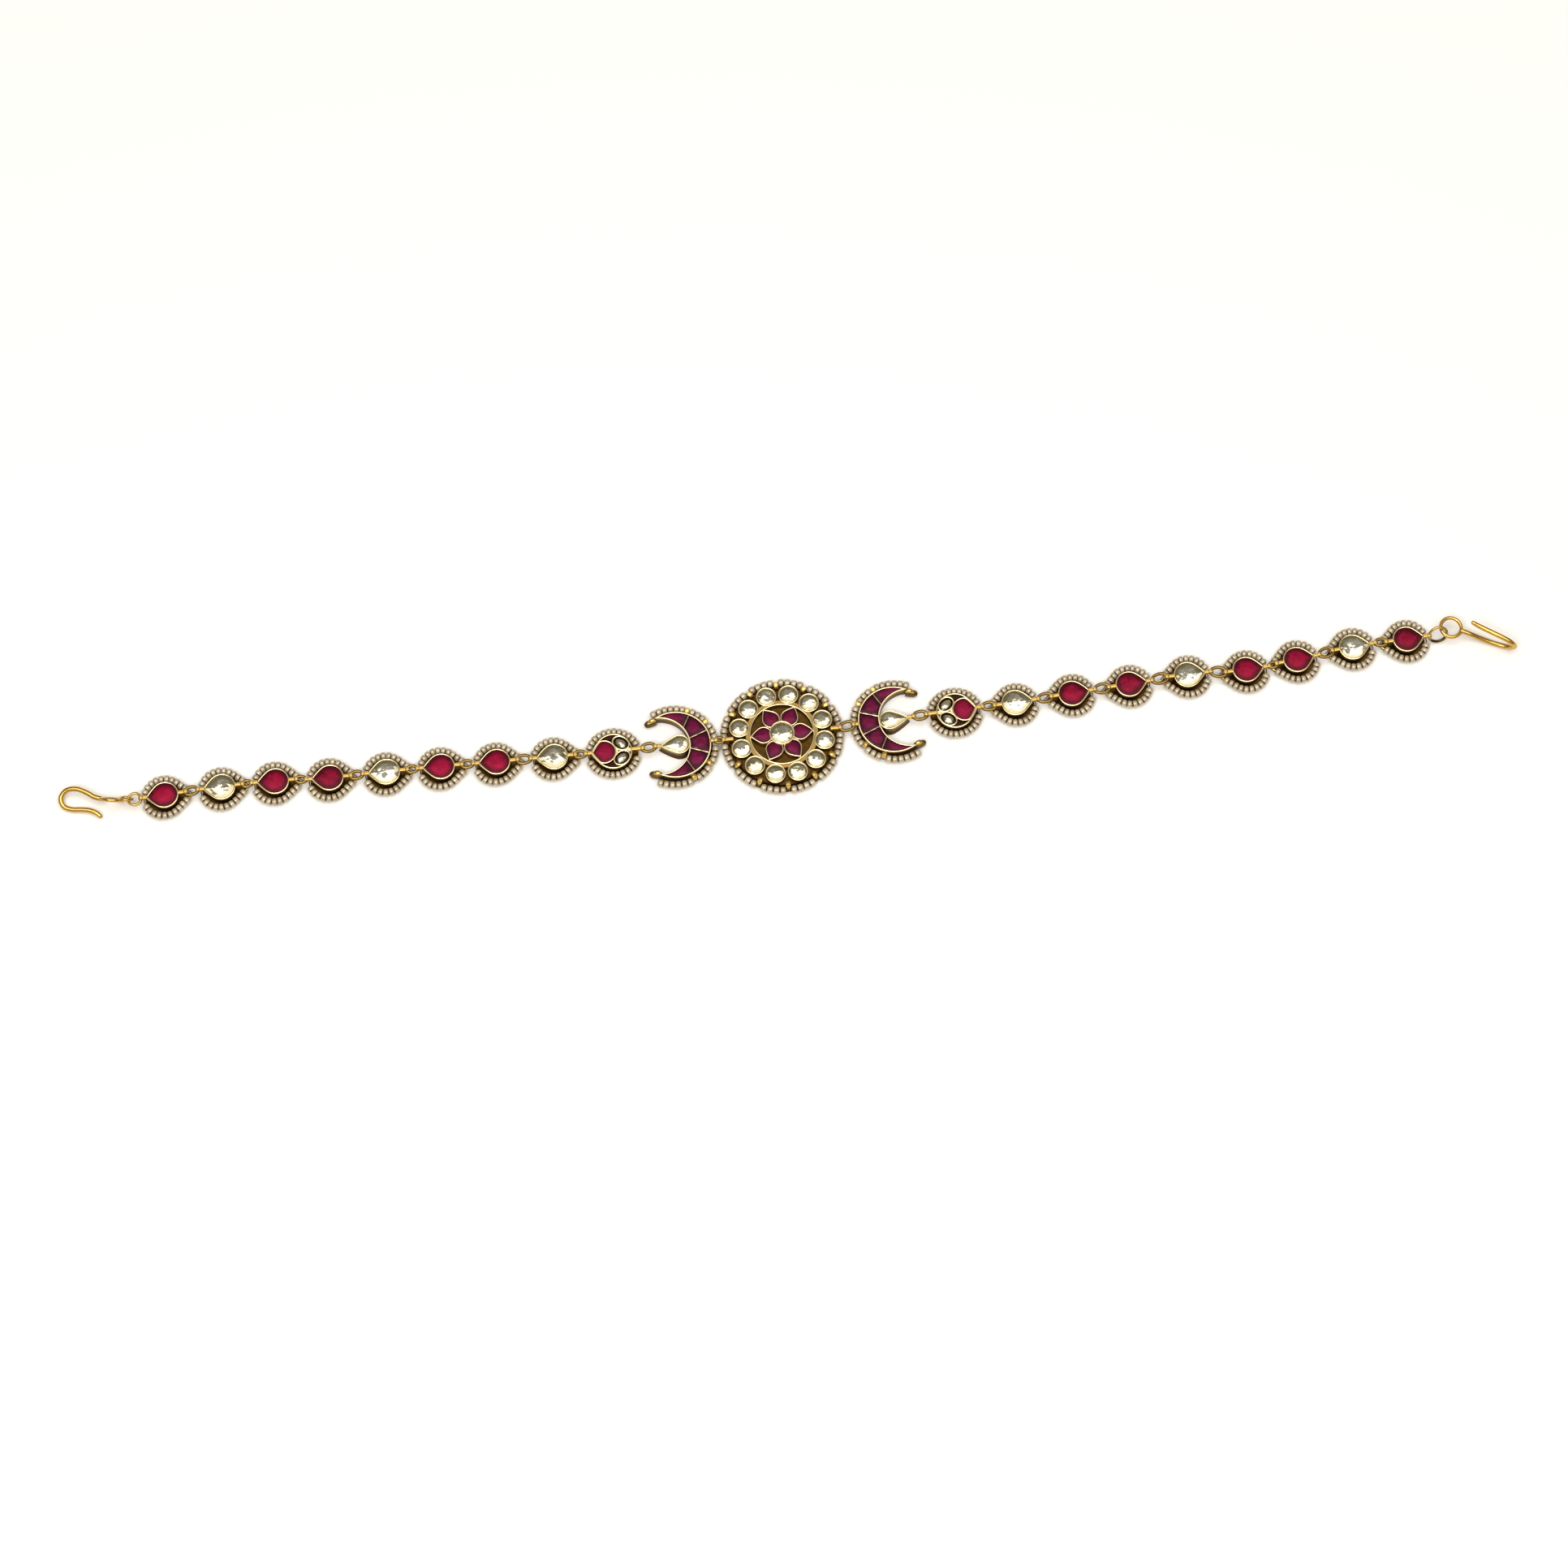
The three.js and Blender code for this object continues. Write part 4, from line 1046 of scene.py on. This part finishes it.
def pear_outline(grow):
    """The stone's outline, grown."""
    return teardrop(PEAR_RADIUS, PEAR_REACH, grow)


def drop_line(angle):
    """The pearls' line, for angles in degrees: a circle, and near -X the straight lines that touch it and
    meet in a point, whose distance in a direction is the radius over the cosine of the angle left."""
    leave = np.degrees(np.arccos(DROP_RADIUS / DROP_REACH))
    left = np.maximum(leave - np.abs(np.mod(angle, 360) - 180), 0)
    return towards(angle) * (DROP_RADIUS / np.cos(np.radians(left)))[:, None]


def drop_thread():
    """A round wire along the pearls' line, with its section in the plane of the line's own radius."""
    angle = np.linspace(0, 360, 60, endpoint=False)
    turn = np.linspace(0, 2 * np.pi, 8, endpoint=False)[None, :, None]
    flat = drop_line(angle)[:, None, :] + towards(angle)[:, None, :] * THREAD_WIRE * np.cos(turn)
    height = THREAD_HEIGHT + THREAD_WIRE * np.sin(turn) + 0 * flat[..., :1]
    return closed_band(np.concatenate([flat, height], axis=2))


def pear_gold():
    """All the metal of one pear-shaped link, in its own frame."""
    plate = disc(lambda g: teardrop(DROP_RADIUS - 0.2e-3, DROP_REACH - 0.4e-3, g), 0.0, PLATE_TOP)
    body = cup(pear_outline, BEZEL_TOP, PEAR_FLOOR)
    parts = [placed(plate, DROP_MIDDLE, turn=180), placed(body, PEAR_MIDDLE)]
    outer = (PEAR_REACH + PEAR_MIDDLE - 0.4e-3, PEAR_OUTER_EYE)
    return parts + eyes(outer, (PEAR_RADIUS - PEAR_MIDDLE - 0.2e-3, PEAR_INNER_EYE))


def rolled(surface, turns):
    """Each point multiplied by a turning matrix."""
    return Surface(surface.points @ turns.T, surface.quads, surface.triangles, surface.own)


def turn_about(axis, degrees):
    """The matrix that turns about X, Y or Z."""
    c, s = np.cos(np.radians(degrees)), np.sin(np.radians(degrees))
    first, second = [(1, 2), (2, 0), (0, 1)][axis]
    matrix = np.eye(3)
    matrix[first, first] = matrix[second, second] = c
    matrix[second, first], matrix[first, second] = s, -s
    return matrix


def hanging_ring(radius, roll, at):
    """A jump ring rolled about the chain's line, with its middle `at` along it."""
    ring = rolled(hoop(radius, radius, HANGING_WIRE, 0.0, 28, 10), turn_about(0, roll))
    # The hanging ring gets a third of that painted shade.
    return [placed(part, at, z=RING_HEIGHT) for part in polished([ring], RING_PAINTED_SHADE / 3)]


RUBY = red_glass("ruby", (0.37, 0.0003, 0.038), (0.07, 0.0, 0.008), 0.4)
POLISHED_CLEAR = foil_backed(
    "polished_clear",
    metallic=0.92,
    coat=0.9,
    strength=0.3,
    Middle=(0.90, 0.87, 0.76),
    Girdle=(0.34, 0.30, 0.17),
    Facets=0.5,
    Roughness=0.02,
)
for side in ("left", "right"):
    threads = []
    for i in range(PEARS):
        place, link = PLACES[side][2 + i], f"{side}_{i + 1}"
        threads += moved([placed(drop_thread(), DROP_MIDDLE)], place)
        gold = moved(pear_gold(), place)
        if i + 1 < PEARS:
            gold += between(place, PEAR_OUTER_EYE, PLACES[side][3 + i], PEAR_INNER_EYE)
        else:
            radius, roll = HOOK_RING[side]
            gold += moved(hanging_ring(radius, roll, HOOK_REACH + radius), place)
        piece(f"pear_mount_{link}", gold, SETTING_GOLD, [f"pear_setting_{link}"])

        stone = placed(gem(pear_outline, BEZEL_TOP + 0.08e-3, tone=rng.random()), PEAR_MIDDLE)
        material, slot = (POLISHED_CLEAR, "clear_stone") if i + 1 in PEAR_CLEAR else (RUBY, "ruby_stone")
        piece(f"pear_gem_{link}", moved([stone], place), material, [f"pear_stone_{link}"], crease=6)

        start, end = DROP_ROW
        beads = strung(drop_line, start, end, DROP_PEARLS)
        beads += strung(drop_line, 360 - end, 360 - start, DROP_PEARLS)
        beads = moved([placed(part, DROP_MIDDLE) for part in beads], place)
        piece(f"pear_bead_rows_{link}", beads, SEED_PEARL, [f"pear_pearls_{link}"])
    piece(f"pear_thread_wires_{side}", threads, WIRE_GOLD)

# ==== Fish hooks ======================================================================================
# Thick gold wire with an eye turned at one end, bent back on itself to catch the hair. The left one hangs
# on a second jump ring. Each is placed from the last link of its side.
HOOK_EYE, HOOK_EYE_WIRE, HOOK_WIRE = 2.5e-3, 0.45e-3, 0.63e-3
# Where each eye's middle lies from the last link, its turns about X, Y and Z in degrees, the swing of the
# whole hook on its jump ring, and how its wire is bent.
HOOKS = {
    "left": {
        "eye_at": (11.97e-3, 0.4e-3, 2.74e-3),
        "turns": (66, 4, -4),
        "swing": -12,
        "bent": {"twist": -90, "stretch": 1.0, "bends": 12, "lean": 0},
    },
    "right": {
        "eye_at": (10.63e-3, 1.1e-3, 3.25e-3),
        "turns": (0, 4.5, -26.5),
        "swing": 0,
        "bent": {"twist": 100, "stretch": 1.36, "bends": 11, "lean": 1.4},
    },
}
SECOND_RING_ROLL = 57
RING_OVERLAP = 0.9e-3
# The wire's way from the edge of the eye, and how far each of its points leans out of the wire's plane.
HOOK_ROUTE = np.array([
    (-0.5, 0), (1.4, -0.3), (3.2, -1.1), (5.8, -1.75), (8.2, -1.2), (9.4, 0.7),
    (8.6, 2.6), (6.6, 3.2), (4.4, 3.05), (2.4, 3.0), (0.7, 3.4), (-0.9, 4.4),
]) * 1e-3
HOOK_ASIDE = np.array([0, 0, 0, 0, 0, 0, 0.15, 0.45, 0.8, 1.1, 1.35, 1.6]) * 1e-3


def smooth_line(points, steps):
    """A curve through the points: between each pair, the cubic whose slopes at both are half the step
    between their neighbours."""
    padded = np.concatenate([2 * points[:1] - points[1:2], points, 2 * points[-1:] - points[-2:-1]])
    t = np.linspace(0, len(points) - 1, steps)
    index = np.minimum(t.astype(int), len(points) - 2)
    u = (t - index)[:, None]
    a, b, c, d = (padded[index + k] for k in range(4))
    return 0.5 * (2 * b + (c - a) * u + (2 * a - 5 * b + 4 * c - d) * u**2 + (3 * b - a - 3 * c + d) * u**3)


def fish_hook(twist, stretch, bends, lean):
    """The eye lies about the origin, flat. The wire leaves it along +X in a plane turned about X, and its
    free limb leans out of that plane. It thins towards its tip."""
    steps = 80
    route = HOOK_ROUTE[:bends].copy()
    route[:, 0] = HOOK_EYE + HOOK_EYE_WIRE + np.where(route[:, 0] > 0, route[:, 0] * stretch, route[:, 0])
    path = smooth_line(route, steps)
    aside = lean * np.interp(np.linspace(0, bends - 1, steps), np.arange(bends), HOOK_ASIDE[:bends])
    along = np.linspace(0, 1, steps)
    thickness = 2 * HOOK_WIRE * np.interp(along, [0, 0.02, 0.9, 0.985, 1], [0.9, 1, 1, 0.85, 0.45])
    wire = rolled(swept(path, thickness, thickness, 14, aside=aside), turn_about(0, twist - 90))
    return [hoop(HOOK_EYE, HOOK_EYE, HOOK_EYE_WIRE, 0.0, 44, 12), wire]


for side, hook in HOOKS.items():
    about_x, about_y, about_z = hook["turns"]
    pose = turn_about(2, about_z) @ turn_about(1, about_y) @ turn_about(0, about_x)
    x, y, z = hook["eye_at"]
    parts = [placed(rolled(part, pose), x, y, z=z) for part in fish_hook(**hook["bent"])]
    radius = HOOK_RING[side][0]
    if side == "left":
        parts += hanging_ring(radius, SECOND_RING_ROLL, HOOK_REACH + 3 * radius - RING_OVERLAP)
    # The hook swings about the middle of the jump ring that it hangs on.
    pivot = HOOK_REACH + radius
    parts = [placed(placed(part, -pivot), pivot, turn=hook["swing"]) for part in parts]
    piece(f"fish_hook_{side}", moved(parts, PLACES[side][-1]), WIRE_GOLD, [f"hook_{side}"])

# ==== Table, light and camera =========================================================================
# A plain pale table top, one large soft light above and towards the viewer, a small lamp at the left, and
# a dim warm room.
TABLE_HALF = 3.0
TABLE_GAP = 0.01e-3
corners = TABLE_HALF * np.array([(-1, -1, 0), (1, -1, 0), (1, 1, 0), (-1, 1, 0)])
corners[:, 2] = cad_low.z - TABLE_GAP
table_mesh = bpy.data.meshes.new("table_top")
table_mesh.from_pydata(corners, [], [(0, 1, 2, 3)])
pale, _ = new_material("pale_table", Base_Color=(0.93, 0.93, 0.93), Roughness=0.85)
table_mesh.materials.append(pale)
table = bpy.data.objects.new("table_top", table_mesh)
bpy.context.scene.collection.objects.link(table)


def stand(name, data, place, right, back):
    """Adds a light or a camera at a place, with its X axis along `right` and its Z axis along `back`,
    away from what it faces."""
    made = bpy.data.objects.new(name, data)
    matrix = np.eye(4)
    matrix[:3] = np.column_stack([right, np.cross(back, right), back, place])
    made.matrix_world = matrix.T.tolist()
    bpy.context.scene.collection.objects.link(made)
    return made


def softbox(name, place, size, power, colour):
    """An area light at a place, turned to face the origin."""
    data = bpy.data.lights.new(name, "AREA")
    data.shape = "RECTANGLE"
    data.size, data.size_y = size
    data.energy = power
    data.color = colour
    back = np.array(place) / np.linalg.norm(place)
    right = np.cross((0, 1, 0), back)
    stand(name, data, place, right / np.linalg.norm(right), back)


softbox("overhead", (0.0, -0.22, 1.2), size=(1.6, 1.44), power=18.5, colour=(1.0, 0.97, 0.93))
softbox("lamp", (-0.35, -0.55, 1.0), size=(0.16, 0.16), power=2.2, colour=(1.0, 0.95, 0.86))

room = bpy.data.worlds.new("room")
room.use_nodes = True
fill(room.node_tree.nodes["Background"], Color=(0.30, 0.28, 0.24), Strength=1.0)
bpy.context.scene.world = room
bpy.context.scene.view_settings.view_transform = "Standard"

CAMERA_TURN, CAMERA_RISE = np.radians([-6.6, 68])
CAMERA_DISTANCE = 0.9
CAMERA_AIM = np.array([-0.87e-3, -11.75e-3, 0.0])
right = np.array([np.cos(CAMERA_TURN), np.sin(CAMERA_TURN), 0])
level = np.array([np.sin(CAMERA_TURN), -np.cos(CAMERA_TURN), 0])
back = np.cos(CAMERA_RISE) * level + (0, 0, np.sin(CAMERA_RISE))
lens = bpy.data.cameras.new("camera")
lens.lens, lens.sensor_width = 86.8, 36.0
lens.clip_start, lens.clip_end = 0.05, 20
camera = stand("camera", lens, CAMERA_AIM + CAMERA_DISTANCE * back, right, back)
bpy.context.scene.camera = camera
